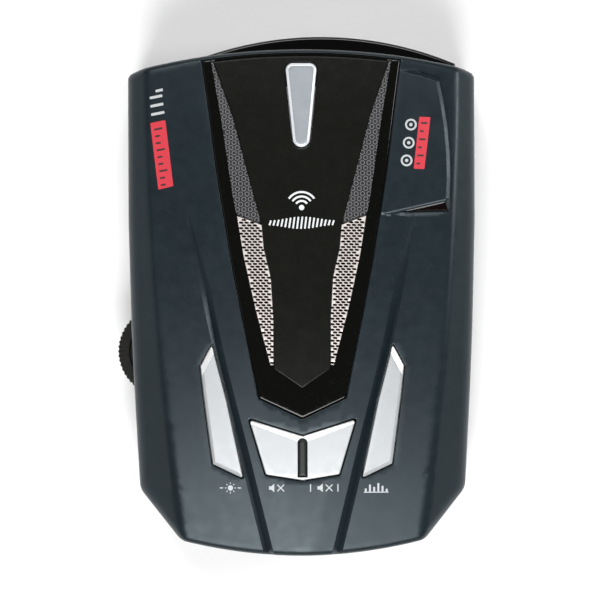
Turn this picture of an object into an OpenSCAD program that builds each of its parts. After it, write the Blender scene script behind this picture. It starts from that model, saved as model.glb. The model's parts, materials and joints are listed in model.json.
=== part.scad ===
// Windshield-mount radar and laser detector, as an assembly of separate pieces.
// +Y points at the windshield, -Y at the driver, and the flat underside lies on z = 0.

/* [Case] */
// Half width of the upper cover at its widest
case_half_w = 35.5; // [34.5:0.1:36.5]
// How far the upper cover reaches towards the windshield
case_front = 50.3; // [50:0.1:51]
// How far the upper cover reaches towards the driver
case_rear = 53.3; // [53:0.1:54]
// Highest point of the crowned top
crown_z = 30.6; // [30.4:0.1:31.2]
// Height of the joint between the two covers
split_z = 14; // [13.9:0.1:14.1]
// Wall thickness of both covers
wall = 2; // [1.8:0.1:2.2]

/* [Controls] */
// How far a pushed key travels
key_travel = 0.8; // [0.4:0.1:0.8]
// How far the bracket release button travels
release_travel = 1.2; // [1:0.1:1.2]
// Radius of the volume thumbwheel
wheel_r = 9.5; // [9:0.1:9.8]
// Gap around a key in its opening
key_gap = 0.25; // [0.2:0.05:0.3]

/* [Interfaces] */
// Clear width of the windshield bracket slot
slot_w = 27; // [25:0.5:28]
// Clear height of the windshield bracket slot
slot_h = 5.8; // [5.6:0.1:5.8]
// Bore radius of the earphone jack
earphone_r = 1.8; // [1.75:0.01:1.85]
// Bore radius of the power jack
power_r = 1.75; // [1.7:0.05:1.9]

/* [Hidden] */

$fn = 64;
eps = 0.01;
big = 300;

// Crowned top: a cylinder lying along X, of this radius, with its crest at crest_y.
crown_r = 330;
crest_y = 15;
// The shoulders tilt away from the centre panel's edges, and the flanks fall from the shoulders.
shoulder_x = 14.8;
shoulder_yaw = 9.4;
shoulder_tilt = 9;
flank_x = 31;
flank_z = crown_z - 2.6;
flank_yaw = 3.56;
flank_tilt = 42;

// Plan arcs of the two ends, and the rear corners' straight cut.
front_arc_r = 145;
rear_arc_r = 102;
rear_cut = [33.6, -39.7];
rear_cut_angle = -39.2;
front_cut = [33.4, 46.4];
front_cut_angle = 62.4;

skin = 2.2;          // thickness of the crowned top
panel_t = 1;         // thickness of the centre panel's pieces
fit_gap = 0.1;       // gap between pieces that don't move
key_proud = 0.7;     // how far the keys stand above the crown
groove_depth = 0.6;
groove_half_w = 0.95;

// Windshield bracket slot.
slot_z = 19.6;
slot_back = 33;
slot_wall = 1.2;
slot_roof = slot_z + slot_h + slot_wall;
tooth_h = release_travel - 0.1;
spring_at = [0, 25.2];

// Front lens: an arc set a little to the right of the centre line.
lens_r = 72;
lens_x = 3.8;
lens_front = 53.5;
lens_half_w = 28;
lens_back = 44.5;
lens_wall = 1.8;
lens_z = [3.2, 18];

// Rear display window.
window_half_w = 22;
window_z = [6.5, 19.5];

// Boards and what stands on them.
board_t = 1.6;
board_z = 6;
board_top = board_z + board_t;
key_board_z = 17.4;
key_board_top = key_board_z + board_t;
dome_h = 1.2 + key_travel;

wheel_at = [-28.7, -11.3];
wheel_z = 10.6;
wheel_t = 3;
wheel_gap = 0.4;

speaker_r = 14;
speaker_z = 20.5;
speaker_face = 26;
gasket_t = 0.6;

horn_split = 8.7;
horn_top = 15.4;
horn_back = 13.5;
horn_front = 44;
horn_half_w = 18;
horn_screw_at = [for (x = [-15, 15]) for (y = [17, 25]) [x, y]];

jack_z = 10.6;
power_y = 1;
earphone_y = -14;

boss_r = 3.4;
screw_r = 1.4;
boss_at = [[28.3, 37], [-28.3, 37], [24, -37], [-24, -37]];
post_at = [[-28, 6], [28, -26], [-14, -40], [14, 9]];
key_boss_at = [[22.6, -27], [-22.6, -27]];

// The mute rocker turns on a pin along Y, at this height.
pivot_z = 23.6;
pivot_y = [-40, -24];
side_dome_at = [17.6, -24];
mute_dome_at = [7, -31.5];

// The rear-facing slope of the laser housing, from its inner corner.
slope_at = [17, 16.7, 30.55];
slope_turn = [39.6, 0, 12.7];
slope_window = [[3.2, -0.5], [12.4, -0.5], [12.6, -3.1]];

// Outlines of one side, from the front to the rear, mirrored to make the whole.
panel_side = [[20.6, 51], [18.9, 38.3], [17.3, 25.5], [16.4, 19.8], [14.3, 6.8], [12.2, -4.3], [11, -10.1],
    [8.9, -20.8]];
panel_tip = -25;
ring_outer = [[18.4, 48], [16.3, 35.8], [13.9, 19.5], [13.3, 16.7]];
ring_inner = [[8.2, 14.8], [10.9, 24.9], [13.9, 36.4], [18, 48]];
grille_outer = [[13.2, 16.4], [11.9, 8.3], [9.5, -2.6], [6.5, -14.1]];
grille_inner = [[5.8, -14.1], [5.8, -4.4], [6.3, 3.8], [7.7, 9.8], [8.1, 14.5]];
plate_side = [[19, 51], [18, 48], [13.9, 36.4], [10.9, 24.9], [8.2, 14.8], [7.7, 9.8], [6.3, 3.8],
    [5.8, -4.4], [5.8, -14.9]];
plate_tip = -18.9;
key_outline = [[18.4, -9.9], [20.7, -14.2], [20.1, -20], [18.3, -34.3], [12.2, -37.2], [15.5, -21.5],
    [18, -11.8]];
mute_side = [[10.8, -25.2], [7.5, -36.4]];
mute_apex = -28.6;
mute_foot = -37.6;
groove_line = [[22.6, 14], [19.6, 1.2], [18.15, -6.1], [16.8, -13.3], [15.25, -21.1], [12.8, -31.1],
    [7.1, -54]];
groove_start = [23.1, 16.3];
hump_outline = [[19.9, 46.5], [28, 44.4], [29, 39.2], [29.9, 29], [30.2, 15], [22, 15], [16.9, 16.7]];

function mirrored(pts) = [for (p = pts) [-p[0], p[1]]];
function sided(pts, side) = [for (p = pts) [side * p[0], p[1]]];
function reversed(pts) = [for (i = [len(pts) - 1:-1:0]) pts[i]];
// A closed outline from one side's points: down the right, through the tip, up the left.
function both_sides(side, tip) = concat(side, [[0, tip]], reversed(mirrored(side)));

// A closed outline moved outwards by d, its corners kept sharp.
function edge_normal(a, b) = [b[1] - a[1], a[0] - b[0]] / norm(b - a);
function area2(pts) =
    [for (i = [0:len(pts) - 1]) let (q = pts[(i + 1) % len(pts)]) pts[i][0] * q[1] - pts[i][1] * q[0]]
    * [for (p = pts) 1];
function grown(pts, d) =
    let (n = len(pts), turn = sign(area2(pts)))
    [for (i = [0:n - 1])
        let (a = edge_normal(pts[(i + n - 1) % n], pts[i]), b = edge_normal(pts[i], pts[(i + 1) % n]))
        pts[i] + turn * d * (a + b) / (1 + a * b)];

panel_pts = both_sides(panel_side, panel_tip);
plate_pts = both_sides(plate_side, plate_tip);
mute_pts = concat([[0, mute_apex]], mute_side, [[0, mute_foot]], reversed(mirrored(mute_side)));
function ring_pts(side) = sided(concat(ring_outer, ring_inner), side);
function grille_pts(side) = sided(concat(grille_outer, grille_inner), side);
function key_pts(side) = sided(key_outline, side);

// ---------- Shared shapes ----------

// A box centred on at in X and Y, standing on at's height.
module box(size, at) translate([at[0] - size[0] / 2, at[1] - size[1] / 2, at[2]]) cube(size);

module column(pts, z0 = 10, z1 = 40) translate([0, 0, z0]) linear_extrude(z1 - z0) polygon(pts);

// Everything under the crown, depth below its surface.
module crown(depth = 0) {
    translate([0, crest_y, crown_z - crown_r]) rotate([0, 90, 0])
        cylinder(r = crown_r - depth, h = big, center = true, $fn = 256);
}

// The same crown turned and tilted about a point on one side; side is 1 or -1.
module side_crown(x, z, yaw, tilt, side, depth) {
    translate([side * x, crest_y, z]) rotate([0, 0, -side * yaw]) rotate([0, side * tilt, 0])
        translate([0, 0, -crown_r]) rotate([0, 90, 0])
            cylinder(r = crown_r - depth, h = big, center = true, $fn = 256);
}

module shoulder(side, depth = 0) side_crown(shoulder_x, crown_z, shoulder_yaw, shoulder_tilt, side, depth);
module flank(side, depth = 0) side_crown(flank_x, flank_z, flank_yaw, flank_tilt, side, depth);

// A curved sheet cut to an outline, between two depths below the crown.
module crown_sheet(pts, top, bottom) {
    difference() {
        intersection() {
            column(pts);
            crown(top);
        }
        crown(bottom);
    }
}

// The same, below a shoulder.
module shoulder_sheet(pts, side, top, bottom) {
    difference() {
        intersection() {
            column(pts);
            shoulder(side, top);
        }
        shoulder(side, bottom);
    }
}

// Everything behind the case's front edge, inset from it.
module front_arc(inset, z0, z1) {
    translate([0, case_front - front_arc_r, z0]) cylinder(r = front_arc_r - inset, h = z1 - z0, $fn = 256);
}

module rear_arc(inset, z0, z1) {
    translate([0, rear_arc_r - case_rear, z0]) cylinder(r = rear_arc_r - inset, h = z1 - z0, $fn = 256);
}

// What lies beyond a straight cut across a corner, inset from it.
module beyond_cut(at, angle, side, inset) {
    translate([side * at[0], at[1], 0]) rotate([0, 0, side * angle])
        translate([side * (20 - inset), 0, 0]) cube([40, 60, big], center = true);
}

// The plan shape of the case, its edge moved inwards by inset, from z0 to z1.
module case_prism(inset, z0, z1) {
    w = case_half_w - inset;
    side = [[w, case_front + 5], [w, 15], [w - 0.5, -7], [w - 0.9, -18], [w - 1.9, -40], [w - 2.9, -60]];
    difference() {
        intersection() {
            column(concat(side, reversed(mirrored(side))), z0, z1);
            front_arc(inset, z0, z1);
            rear_arc(inset, z0, z1);
        }
        for (side_of = [1, -1]) {
            beyond_cut(rear_cut, rear_cut_angle, side_of, inset);
            beyond_cut(front_cut, front_cut_angle, side_of, inset);
        }
    }
}

// A screw standing head down.
module screw(head_r, head_h, shank_r, length) {
    cylinder(r = head_r, h = head_h);
    cylinder(r = shank_r, h = head_h + length);
}

// ---------- Upper cover ----------

// The crowned, shouldered solid that both faces of the cover follow.
module cover_form(inset, depth, z0) {
    intersection() {
        case_prism(inset, z0, crown_z + 1);
        crown(depth);
        shoulder(1, depth);
        shoulder(-1, depth);
        flank(1, depth);
        flank(-1, depth);
    }
}

// The laser housing on the right: level with the crown, with a slope facing the rear.
module hump_form(inset, depth) {
    intersection() {
        column(grown(hump_outline, -inset), 20, 32);
        crown(depth);
        translate(slope_at) rotate(slope_turn) translate([-40, -40, -80 - inset]) cube(80);
    }
}

module speaker_seat() {
    difference() {
        intersection() {
            translate([0, 0, speaker_face + gasket_t]) cylinder(r = speaker_r + 0.6, h = 4);
            crown(skin - 0.5);
        }
        translate([0, 0, 20]) cylinder(r = speaker_r - 1.6, h = 20);
    }
}

module top_cover() color("darkslategray") {
    difference() {
        union() {
            difference() {
                union() {
                    cover_form(0, 0, split_z);
                    hump_form(0, 0);
                }
                cover_form(wall, skin, split_z - 1);
                hump_form(1.8, 1.6);
            }
            speaker_seat();
            intersection() {
                union() {
                    for (at = boss_at) translate([at[0], at[1], split_z]) cylinder(r = boss_r, h = 20);
                    for (at = key_boss_at) translate([at[0], at[1], key_board_top]) cylinder(r = 2, h = 20);
                    // Guides for the rear laser board.
                    for (x = [20.8, 28.2]) box([1, 3, 8], [x, 24.6, 23.6]);
                    // Ears for the rocker's pivot pin.
                    for (y = [-39.4, -24.6]) box([5, 1.2, 10], [0, y, pivot_z - 1.8]);
                }
                cover_form(0.5, 0.8, split_z);
            }
        }
        bracket_slot();
        panel_recess();
        for (side = [1, -1]) groove(side);
        sound_slots();
        key_openings();
        release_column(key_gap, slot_roof, 40);
        slope_column(0.05, -4, 1);
        end_openings();
        for (at = boss_at) translate([at[0], at[1], split_z - 1]) cylinder(r = screw_r + 0.05, h = 6);
        for (at = key_boss_at) translate([at[0], at[1], key_board_top - 1]) cylinder(r = 0.95, h = 4);
        translate([0, pivot_y[0] - 0.05, pivot_z]) rotate([-90, 0, 0])
            cylinder(r = 1.02, h = pivot_y[1] - pivot_y[0] + 0.1);
    }
}

// The slot itself, the tooth's window in its floor and the button's in its roof.
module bracket_slot() {
    box([slot_w, 30, slot_h], [0, slot_back + 15, slot_z]);
    box([7, 5, slot_wall + 1], [0, 38.9, slot_z - slot_wall - 0.5]);
    box([9.2, 17.8, slot_wall + 0.6], [0, 38.9, slot_roof - slot_wall - 0.3]);
}

module panel_recess() {
    difference() {
        intersection() {
            column(grown(panel_pts, fit_gap), 20, 40);
            front_arc(0.7, 20, 40);
        }
        crown(panel_t);
    }
}

// One long groove, wider away from its pointed front end.
function groove_w(y) = groove_half_w * min(1, 0.3 + (16.9 - y) / 22);
module groove(side) {
    right = [for (p = groove_line) [p[0] + groove_w(p[1]), p[1]]];
    left = [for (p = groove_line) [p[0] - groove_w(p[1]), p[1]]];
    shoulder_sheet(sided(concat([groove_start], right, reversed(left)), side), side, -2, groove_depth);
}

// Narrow openings in the recess under each grille, over the speaker's cone.
module sound_slots() {
    slot = [[13, 16], [11.2, 7], [9, -3], [7, -10], [7, -3], [7.4, 5], [9, 12]];
    for (side = [1, -1]) translate([0, 0, 25]) linear_extrude(10) intersection() {
        polygon(sided(slot, side));
        circle(r = speaker_r - 2.4);
    }
}

module key_openings() {
    for (side = [1, -1]) column(grown(key_pts(side), key_gap), 15, 40);
    column(grown(mute_pts, key_gap), 15, 40);
}

module release_column(gap, z0, z1) {
    translate([0, 0, z0]) linear_extrude(z1 - z0) {
        translate([0, 44.3]) circle(r = 3.1 + gap);
        translate([0, 32]) circle(r = 1.7 + gap);
        polygon([[3.1 + gap, 44.3], [1.7 + gap, 32], [-1.7 - gap, 32], [-3.1 - gap, 44.3]]);
    }
}

// The laser window's outline, standing on the housing's rear slope.
module slope_column(gap, z0, z1) {
    translate(slope_at) rotate(slope_turn) column(grown(slope_window, gap), z0, z1);
}

// The openings in the end walls for the front lens and the display window.
module end_openings() {
    box([2 * lens_half_w + 2 * fit_gap, 20, lens_z[1] - lens_z[0] + 2 * fit_gap],
        [lens_x, lens_back + 10, lens_z[0] - fit_gap]);
    box([2 * window_half_w + 2 * fit_gap, 12, window_z[1] - window_z[0] + 2 * fit_gap],
        [0, -54, window_z[0] - fit_gap]);
}

// ---------- Lower cover ----------

module bottom_cover() color("#202427") {
    difference() {
        union() {
            difference() {
                case_prism(0.5, 0, split_z);
                case_prism(0.5 + wall, wall, split_z + 1);
            }
            for (at = boss_at) translate([at[0], at[1], 0.5]) cylinder(r = boss_r, h = split_z - 0.5);
            for (at = post_at) translate([at[0], at[1], 0.5]) cylinder(r = 2, h = board_z - 0.5);
        }
        underside_chamfers();
        end_openings();
        wheel_slot();
        for (jack = [[power_y, 2.7], [earphone_y, 2.9]])
            translate([30, jack[0], jack_z]) rotate([0, 90, 0]) cylinder(r = jack[1], h = 10);
        for (at = boss_at) translate([at[0], at[1], -1]) {
            cylinder(r = screw_r + 0.15, h = 20);
            cylinder(r = 2.8, h = 5);
        }
        for (at = post_at) translate([at[0], at[1], wall]) cylinder(r = 0.9, h = 10);
        // Shallow recess for the label, and a row of vents.
        box([34, 22, 0.31], [0, -14, -eps]);
        for (i = [-4:4]) box([1.2, 8, 5], [i * 3.2, 5, -1]);
    }
}

// Bevels along the lower edges: flat on the flanks and corners, conical on the curved ends.
module underside_chamfers() {
    cut = 2.4;
    for (side = [1, -1]) {
        translate([side * (case_half_w - 0.5), 0, 0]) rotate([0, side * 45, 0])
            cube([cut * 1.4, 140, 20], center = true);
        translate([side * rear_cut[0], rear_cut[1], 0]) rotate([0, 0, side * rear_cut_angle])
            rotate([0, side * 45, 0]) cube([cut * 1.4, 60, 20], center = true);
    }
    arc_chamfer(case_front - front_arc_r, front_arc_r - 0.5, 50, cut);
    arc_chamfer(rear_arc_r - case_rear, rear_arc_r - 0.5, -50, cut);
}

// The conical bevel of an end whose arc has its centre at y; the cut is kept near y_end.
module arc_chamfer(y, r, y_end, cut) {
    intersection() {
        translate([0, y, 0]) difference() {
            cylinder(r = r + 5, h = cut, $fn = 256);
            cylinder(r1 = r - cut, r2 = r, h = cut, $fn = 256);
        }
        box([2 * case_half_w, 16, 10], [0, y_end, -eps]);
    }
}

module wheel_slot() {
    box([8, 18.4, split_z - wheel_z + wheel_gap + 1], [-34.5, wheel_at[1], wheel_z - wheel_gap]);
}

// ---------- Centre panel ----------

module panel_bezel() color("#0b0b0a") {
    difference() {
        intersection() {
            crown_sheet(panel_pts, 0, panel_t);
            front_arc(0.8, 20, 40);
        }
        intersection() {
            column(plate_pts, 10, 40);
            front_arc(1.3, 10, 40);
        }
        for (side = [1, -1]) for (strip = [ring_pts(side), grille_pts(side)]) column(strip, 10, 40);
    }
}

module panel_plate() color("#1d1d1b") {
    difference() {
        intersection() {
            crown_sheet(grown(plate_pts, -0.05), -0.1, panel_t);
            front_arc(1.35, 20, 40);
        }
        release_column(key_gap, 20, 40);
    }
}

module ring_strip(side) color("#2c2d2e") crown_sheet(grown(ring_pts(side), -0.05), 0.15, panel_t);
module ring_strip_left() ring_strip(-1);
module ring_strip_right() ring_strip(1);

// A perforated strip: holes in staggered rows, kept inside the strip's edges.
module grille(side) color("silver") {
    margin = 0.75;
    difference() {
        crown_sheet(grown(grille_pts(side), -0.05), 0.15, panel_t);
        for (row = [-10:12]) for (column = [0:4])
            let (y = row * 1.25, x = 6.6 + column * 1.4 + (row % 2 == 0 ? 0 : 0.7))
                if (x > max(5.8, 5.8 + (y + 4) * 0.11) + margin && x < 6.5 + (y + 14.1) * 0.22 - margin)
                    translate([side * x, y, 20]) cylinder(r = 0.45, h = 20, $fn = 20);
    }
}
module grille_left() grille(-1);
module grille_right() grille(1);

// ---------- Bracket release ----------

// Tube for the bracket's blade, bonded under the cover behind its front wall. Behind it, a shelf
// between two webs carries the return spring.
module bracket_sleeve() color("#2b3034") {
    reach = case_front - slot_back + slot_wall;
    difference() {
        intersection() {
            union() {
                box([slot_w + 2 * slot_wall, reach, slot_h + 2 * slot_wall],
                    [0, case_front - reach / 2, slot_z - slot_wall]);
                for (x = [-1, 1])
                    box([slot_wall, reach, 8],
                        [x * (slot_w + slot_wall) / 2, case_front - reach / 2, slot_roof - 1]);
                box([10.4, 6.8, slot_wall], [0, 25.6, slot_z - slot_wall]);
                for (x = [-1, 1]) box([1.2, 10, 12], [x * 4.6, 27.2, slot_z - slot_wall]);
            }
            crown(skin + fit_gap / 2);
            case_prism(wall + fit_gap / 2, 0, 40);
        }
        bracket_slot();
    }
}

module release_button() color("silver") {
    intersection() {
        release_column(0, slot_roof, 40);
        crown(-key_proud);
    }
    // Flange under the skin.
    intersection() {
        release_column(0.9, slot_roof, slot_roof + 0.7);
        box([10, 14.5, 5], [0, 35.5, slot_roof]);
        crown(skin + 0.3);
    }
}

// Leg behind the slot, foot under it, and tooth up through the slot's floor.
module release_latch() color("#33373a") {
    foot_z = slot_z - slot_wall - 0.4 - 1.1;
    union() {
        box([5, 2.2, slot_roof - foot_z], [0, 30.5, foot_z]);
        box([5, 11.2, 1.1], [0, 35, foot_z]);
        translate([-2.5, 0, 0]) rotate([90, 0, 90]) linear_extrude(5)
            polygon([[37.4, foot_z], [40.4, foot_z], [40.4, slot_z - 0.2], [38.4, slot_z + tooth_h],
                [37.4, slot_z + tooth_h]]);
        // Arm over the return spring.
        box([5, 8, 1], [0, 27, slot_roof - 1]);
    }
}

// A coil spring: one round wire along a helix.
module coil(r, wire, turns, height) {
    steps = 16;
    sides = 6;
    n = turns * steps;
    pts = [for (i = [0:n]) for (j = [0:sides - 1])
        let (a = 360 * i / steps, b = 360 * j / sides, reach = r + wire * cos(b))
        [reach * cos(a), reach * sin(a), wire + (height - 2 * wire) * i / n + wire * sin(b)]];
    faces = concat(
        [[for (j = [0:sides - 1]) j]],
        [for (i = [0:n - 1]) for (j = [0:sides - 1])
            let (a = i * sides, b = a + sides, k = (j + 1) % sides) [a + j, b + j, b + k, a + k]],
        [[for (j = [sides - 1:-1:0]) n * sides + j]]);
    polyhedron(pts, faces);
}

module release_spring() color("silver")
    translate([spring_at[0], spring_at[1], slot_z]) coil(1.6, 0.22, 6, slot_roof - 1 - slot_z);

// ---------- Keys ----------

// A side key: cap through the skin, retaining flange below it, and a stem over its dome.
module side_key(side) color("gainsboro") {
    shoulder_sheet(key_pts(side), side, -key_proud, skin + 0.9);
    shoulder_sheet(grown(key_pts(side), 0.7), side, skin + 0.3, skin + 1.1);
    intersection() {
        translate([side * side_dome_at[0], side_dome_at[1], key_board_top + dome_h + 0.05])
            cylinder(r = 1.3, h = 6);
        shoulder(side, skin + 0.5);
    }
}
module dim_key() side_key(-1);
module city_key() side_key(1);

// The mute rocker: one cap over both domes, its lug turning on the pin.
module mute_key() color("whitesmoke") {
    difference() {
        union() {
            crown_sheet(mute_pts, -key_proud, skin + 1.2);
            intersection() {
                union() {
                    box([4.6, 6.8, 6], [0, -32.6, pivot_z - 2]);
                    for (side = [1, -1])
                        translate([side * mute_dome_at[0], mute_dome_at[1], key_board_top + dome_h + 0.05])
                            cylinder(r = 1.3, h = 6);
                }
                crown(skin);
            }
        }
        translate([0, -45, pivot_z]) rotate([-90, 0, 0]) cylinder(r = 1.06, h = 25);
        rib_column(0.03, 0.5);
    }
}

// The rib's outline above a depth below the crown.
module rib_column(gap, depth) {
    difference() {
        translate([0, 0, 20]) linear_extrude(20) {
            translate([0, -30]) circle(r = 1 + gap);
            translate([-1 - gap, -37 - gap]) square([2 + 2 * gap, 7 + gap]);
        }
        crown(depth);
    }
}

module mute_key_rib() color("#484c4b") {
    intersection() {
        rib_column(0, 0.5);
        crown(-key_proud + 0.15);
    }
}

module mute_pivot_pin() color("silver")
    translate([0, pivot_y[0], pivot_z]) rotate([-90, 0, 0]) cylinder(r = 1, h = pivot_y[1] - pivot_y[0]);

// One rubber dome, hollow underneath.
module dome(at) {
    translate([at[0], at[1], key_board_top]) rotate_extrude()
        polygon([[0, dome_h], [1.6, dome_h], [2.5, 0.5], [3, 0.5], [3, 0], [2, 0], [1.2, dome_h - 0.7],
            [0, dome_h - 0.7]]);
}
module dim_dome() color("#3b3f42") dome([-side_dome_at[0], side_dome_at[1]]);
module city_dome() color("#3b3f42") dome(side_dome_at);
module mute_domes() color("#3b3f42") for (x = [-1, 1]) dome([x * mute_dome_at[0], mute_dome_at[1]]);

module key_board() color("darkgreen") {
    difference() {
        box([50, 24, board_t], [0, -28.5, key_board_z]);
        for (at = boss_at) translate([at[0], at[1], 0]) cylinder(r = boss_r + 0.4, h = 40);
        for (at = key_boss_at) translate([at[0], at[1], 0]) cylinder(r = 1.1, h = 40);
    }
}

module key_board_screws() color("silver")
    for (at = key_boss_at) translate([at[0], at[1], key_board_z - 1]) screw(1.8, 1, 0.9, 4);

// ---------- Laser sensors ----------

module rear_laser_window() color("#1a0508") slope_column(0, -1.5, -0.05);

module rear_laser_lens() color("lightsteelblue")
    translate([24.5, 24.1, 26.4]) rotate([90, 0, 0]) cylinder(r = 1.8, h = 3);
module rear_laser_board() color("darkgreen") box([6.3, 1, 5], [24.5, 24.6, 23.6]);

module front_laser_lens() color("lightsteelblue")
    translate([25.5, 41.9, 9.5]) rotate([-90, 0, 0]) cylinder(r = 3.4, h = 3);
module front_laser_board() color("darkgreen") box([10, 1.2, 12], [25.5, 41.3, wall]);

// ---------- Front lens and display ----------

module lens_form(inset, back) {
    intersection() {
        translate([lens_x, lens_front - lens_r, lens_z[0] + inset])
            cylinder(r = lens_r - inset, h = lens_z[1] - lens_z[0] - 2 * inset, $fn = 256);
        box([2 * (lens_half_w - inset), 20, 40], [lens_x, back + 10, 0]);
    }
}

module front_lens() color("#0c0c0b") {
    difference() {
        lens_form(0, lens_back);
        lens_form(lens_wall, lens_back - 1);
    }
}

module display_window() color("#140809") {
    intersection() {
        difference() {
            rear_arc(0.7, 0, 40);
            rear_arc(0.5 + wall, -1, 41);
        }
        box([2 * window_half_w, 20, window_z[1] - window_z[0]], [0, -56, window_z[0]]);
    }
}

module display_module() color("#26282a") box([38, 3, 11], [0, -46.8, 7.5]);
module display_board() color("darkgreen") box([44, 1.2, 17.2], [0, -44.7, wall]);

// A flat cable run in the YZ plane, its outline given by its two faces.
module flat_cable(width, x, pts) {
    translate([x - width / 2, 0, 0]) rotate([90, 0, 90]) linear_extrude(width) polygon(pts);
}

module display_cable() color("burlywood")
    flat_cable(12, 2, [[-44.1, 9.4], [-43, 9.4], [-41.2, board_top + 0.5], [-38.4, board_top + 0.5],
        [-38.4, board_top], [-41.5, board_top], [-43.2, 8.9], [-44.1, 8.9]]);

module key_cable() color("burlywood")
    flat_cable(8, 0, [[-20, key_board_z], [-20, 12], [-21, board_top + 0.4], [-24, board_top + 0.4],
        [-24, board_top], [-20.8, board_top], [-19.6, 12], [-19.6, key_board_z]]);

// ---------- Main board ----------

module main_board() color("darkgreen") {
    difference() {
        column([[31, 12], [31, -28], [25, -42.5], [-25, -42.5], [-31, -28], [-31, 12]], board_z, board_top);
        for (at = boss_at) translate([at[0], at[1], 0]) cylinder(r = boss_r + 0.4, h = 40);
        for (at = post_at) translate([at[0], at[1], 0]) cylinder(r = 1.1, h = 40);
    }
}

module main_board_screws() color("silver")
    for (at = post_at)
        translate([at[0], at[1], board_top + 1]) rotate([180, 0, 0]) screw(1.9, 1, 0.85, 5);

module chips() color("#1c1c1e") {
    box([12, 12, 1.5], [-6, -8, board_top]);
    box([9, 6, 1.4], [8, -3, board_top]);
    box([6, 8, 1.2], [9, -18, board_top]);
    box([5, 4, 1.2], [-16, 4, board_top]);
}

module capacitors() color("slategray")
    for (at = [[16, -9, 6], [18.6, -25, 6], [-14, -22, 5], [-20, -25, 4]])
        translate([at[0], at[1], board_top]) cylinder(r = 2.4, h = at[2]);

module shield_can() color("silver") difference() {
    box([20, 11, 4], [4, -31.2, board_top]);
    box([19.2, 10.2, 3.6], [4, -31.2, board_top - eps]);
}

// ---------- Horn antenna ----------

// Half of the cast horn: a block with a throat that flares towards the front.
module horn_block(z0, z1) {
    mid = horn_split;
    difference() {
        box([2 * horn_half_w, horn_front - horn_back, z1 - z0], [0, (horn_front + horn_back) / 2, z0]);
        intersection() {
            column([[4.5, 22], [16.5, horn_front + 1], [-16.5, horn_front + 1], [-4.5, 22]], 0, 30);
            translate([-20, 0, 0]) rotate([90, 0, 90]) linear_extrude(40)
                polygon([[22, mid + 2], [horn_front + 1, horn_top - 1.2], [horn_front + 1, wall + 1.2],
                    [22, mid - 2]]);
        }
        for (at = horn_screw_at) translate([at[0], at[1], 4]) cylinder(r = 1, h = 30);
    }
}

module horn_lower() color("darkgray") horn_block(wall, horn_split);
module horn_upper() color("darkgray") horn_block(horn_split, horn_top);
module horn_screws() color("silver")
    for (at = horn_screw_at)
        translate([at[0], at[1], horn_top + 1]) rotate([180, 0, 0]) screw(1.7, 1, 0.95, 10);

module rf_board() color("darkgreen") box([24, 12, 1], [0, 20.5, horn_top]);

// ---------- Speaker ----------

// A ring with a rectangular or shaped section, given as radius and height pairs.
module turned(profile) rotate_extrude() polygon(profile);

module speaker_gasket() color("#2a2a2a")
    turned([[12.5, speaker_face], [14.2, speaker_face], [14.2, speaker_face + gasket_t],
        [12.5, speaker_face + gasket_t]]);

module speaker_frame() color("#4a4d50")
    turned([[7.1, speaker_z], [9, speaker_z], [13.4, speaker_face - 1], [speaker_r, speaker_face - 1],
        [speaker_r, speaker_face], [12.6, speaker_face], [12.6, speaker_face - 0.6], [8.4, speaker_z + 1],
        [7.1, speaker_z + 1]]);

module speaker_magnet() color("dimgray") translate([0, 0, speaker_z - 3]) cylinder(r = 7, h = 4);

module speaker_cone() color("#161616")
    turned([[0, speaker_z + 1.6], [4, speaker_z + 1.6], [12.5, speaker_face - 0.4],
        [12.5, speaker_face - 0.1], [4, speaker_z + 2], [0, speaker_z + 2.4]]);

module speaker_wires() color("firebrick")
    for (x = [-1.3, 1.3]) {
        translate([x, 8, board_top + 1]) cylinder(r = 0.45, h = speaker_z - board_top - 1, $fn = 24);
        box([1.8, 1.8, 2], [x, 8, board_top]);
    }

// ---------- Volume wheel ----------

module volume_wheel() color("#1c1b19") {
    translate([wheel_at[0], wheel_at[1], wheel_z]) difference() {
        cylinder(r = wheel_r, h = wheel_t, $fn = 96);
        translate([0, 0, -1]) cylinder(r = 2, h = 10);
        for (i = [0:35]) rotate([0, 0, i * 10]) translate([wheel_r + 0.25, 0, -1])
            cylinder(r = 0.5, h = 10, $fn = 16);
    }
}

module pot_rotor() color("ivory")
    translate([wheel_at[0], wheel_at[1], board_top + 0.8])
        cylinder(r = 2, h = wheel_z + wheel_t - board_top - 0.8);

module pot_body() color("#3a3d40") {
    difference() {
        box([7, 9, 2.6], [-28.4, wheel_at[1], board_top]);
        translate([wheel_at[0], wheel_at[1], board_top + 0.6]) cylinder(r = 2.06, h = 4);
    }
}

module wheel_screw() color("silver")
    translate([wheel_at[0], wheel_at[1], wheel_z + wheel_t]) cylinder(r = 1.5, h = 0.1);

// ---------- Jacks ----------

// A socket on the board with a round nose in the wall: bore facing +X.
module jack(y, width, nose_r, bore_r, bore_len) {
    mouth = 34;
    difference() {
        union() {
            box([10, width, 6], [27, y, board_top]);
            translate([31, y, jack_z]) rotate([0, 90, 0]) cylinder(r = nose_r, h = mouth - 31);
        }
        translate([mouth - bore_len, y, jack_z]) rotate([0, 90, 0]) cylinder(r = bore_r, h = 20);
    }
}

module power_jack() color("#17181a") jack(power_y, 9, 2.5, power_r, 9);
module power_jack_pin() color("gold")
    translate([25, power_y, jack_z]) rotate([0, 90, 0]) cylinder(r = 0.55, h = 8);
module earphone_jack() color("#17181a") jack(earphone_y, 7, 2.7, earphone_r, 11);

// ---------- Fasteners and label ----------

module case_screws() color("dimgray")
    for (at = boss_at) translate([at[0], at[1], 2.2]) screw(2.6, 1.8, screw_r, 14);

module underside_label() color("gainsboro") box([33.6, 21.6, 0.2], [0, -14, 0.1]);

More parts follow.
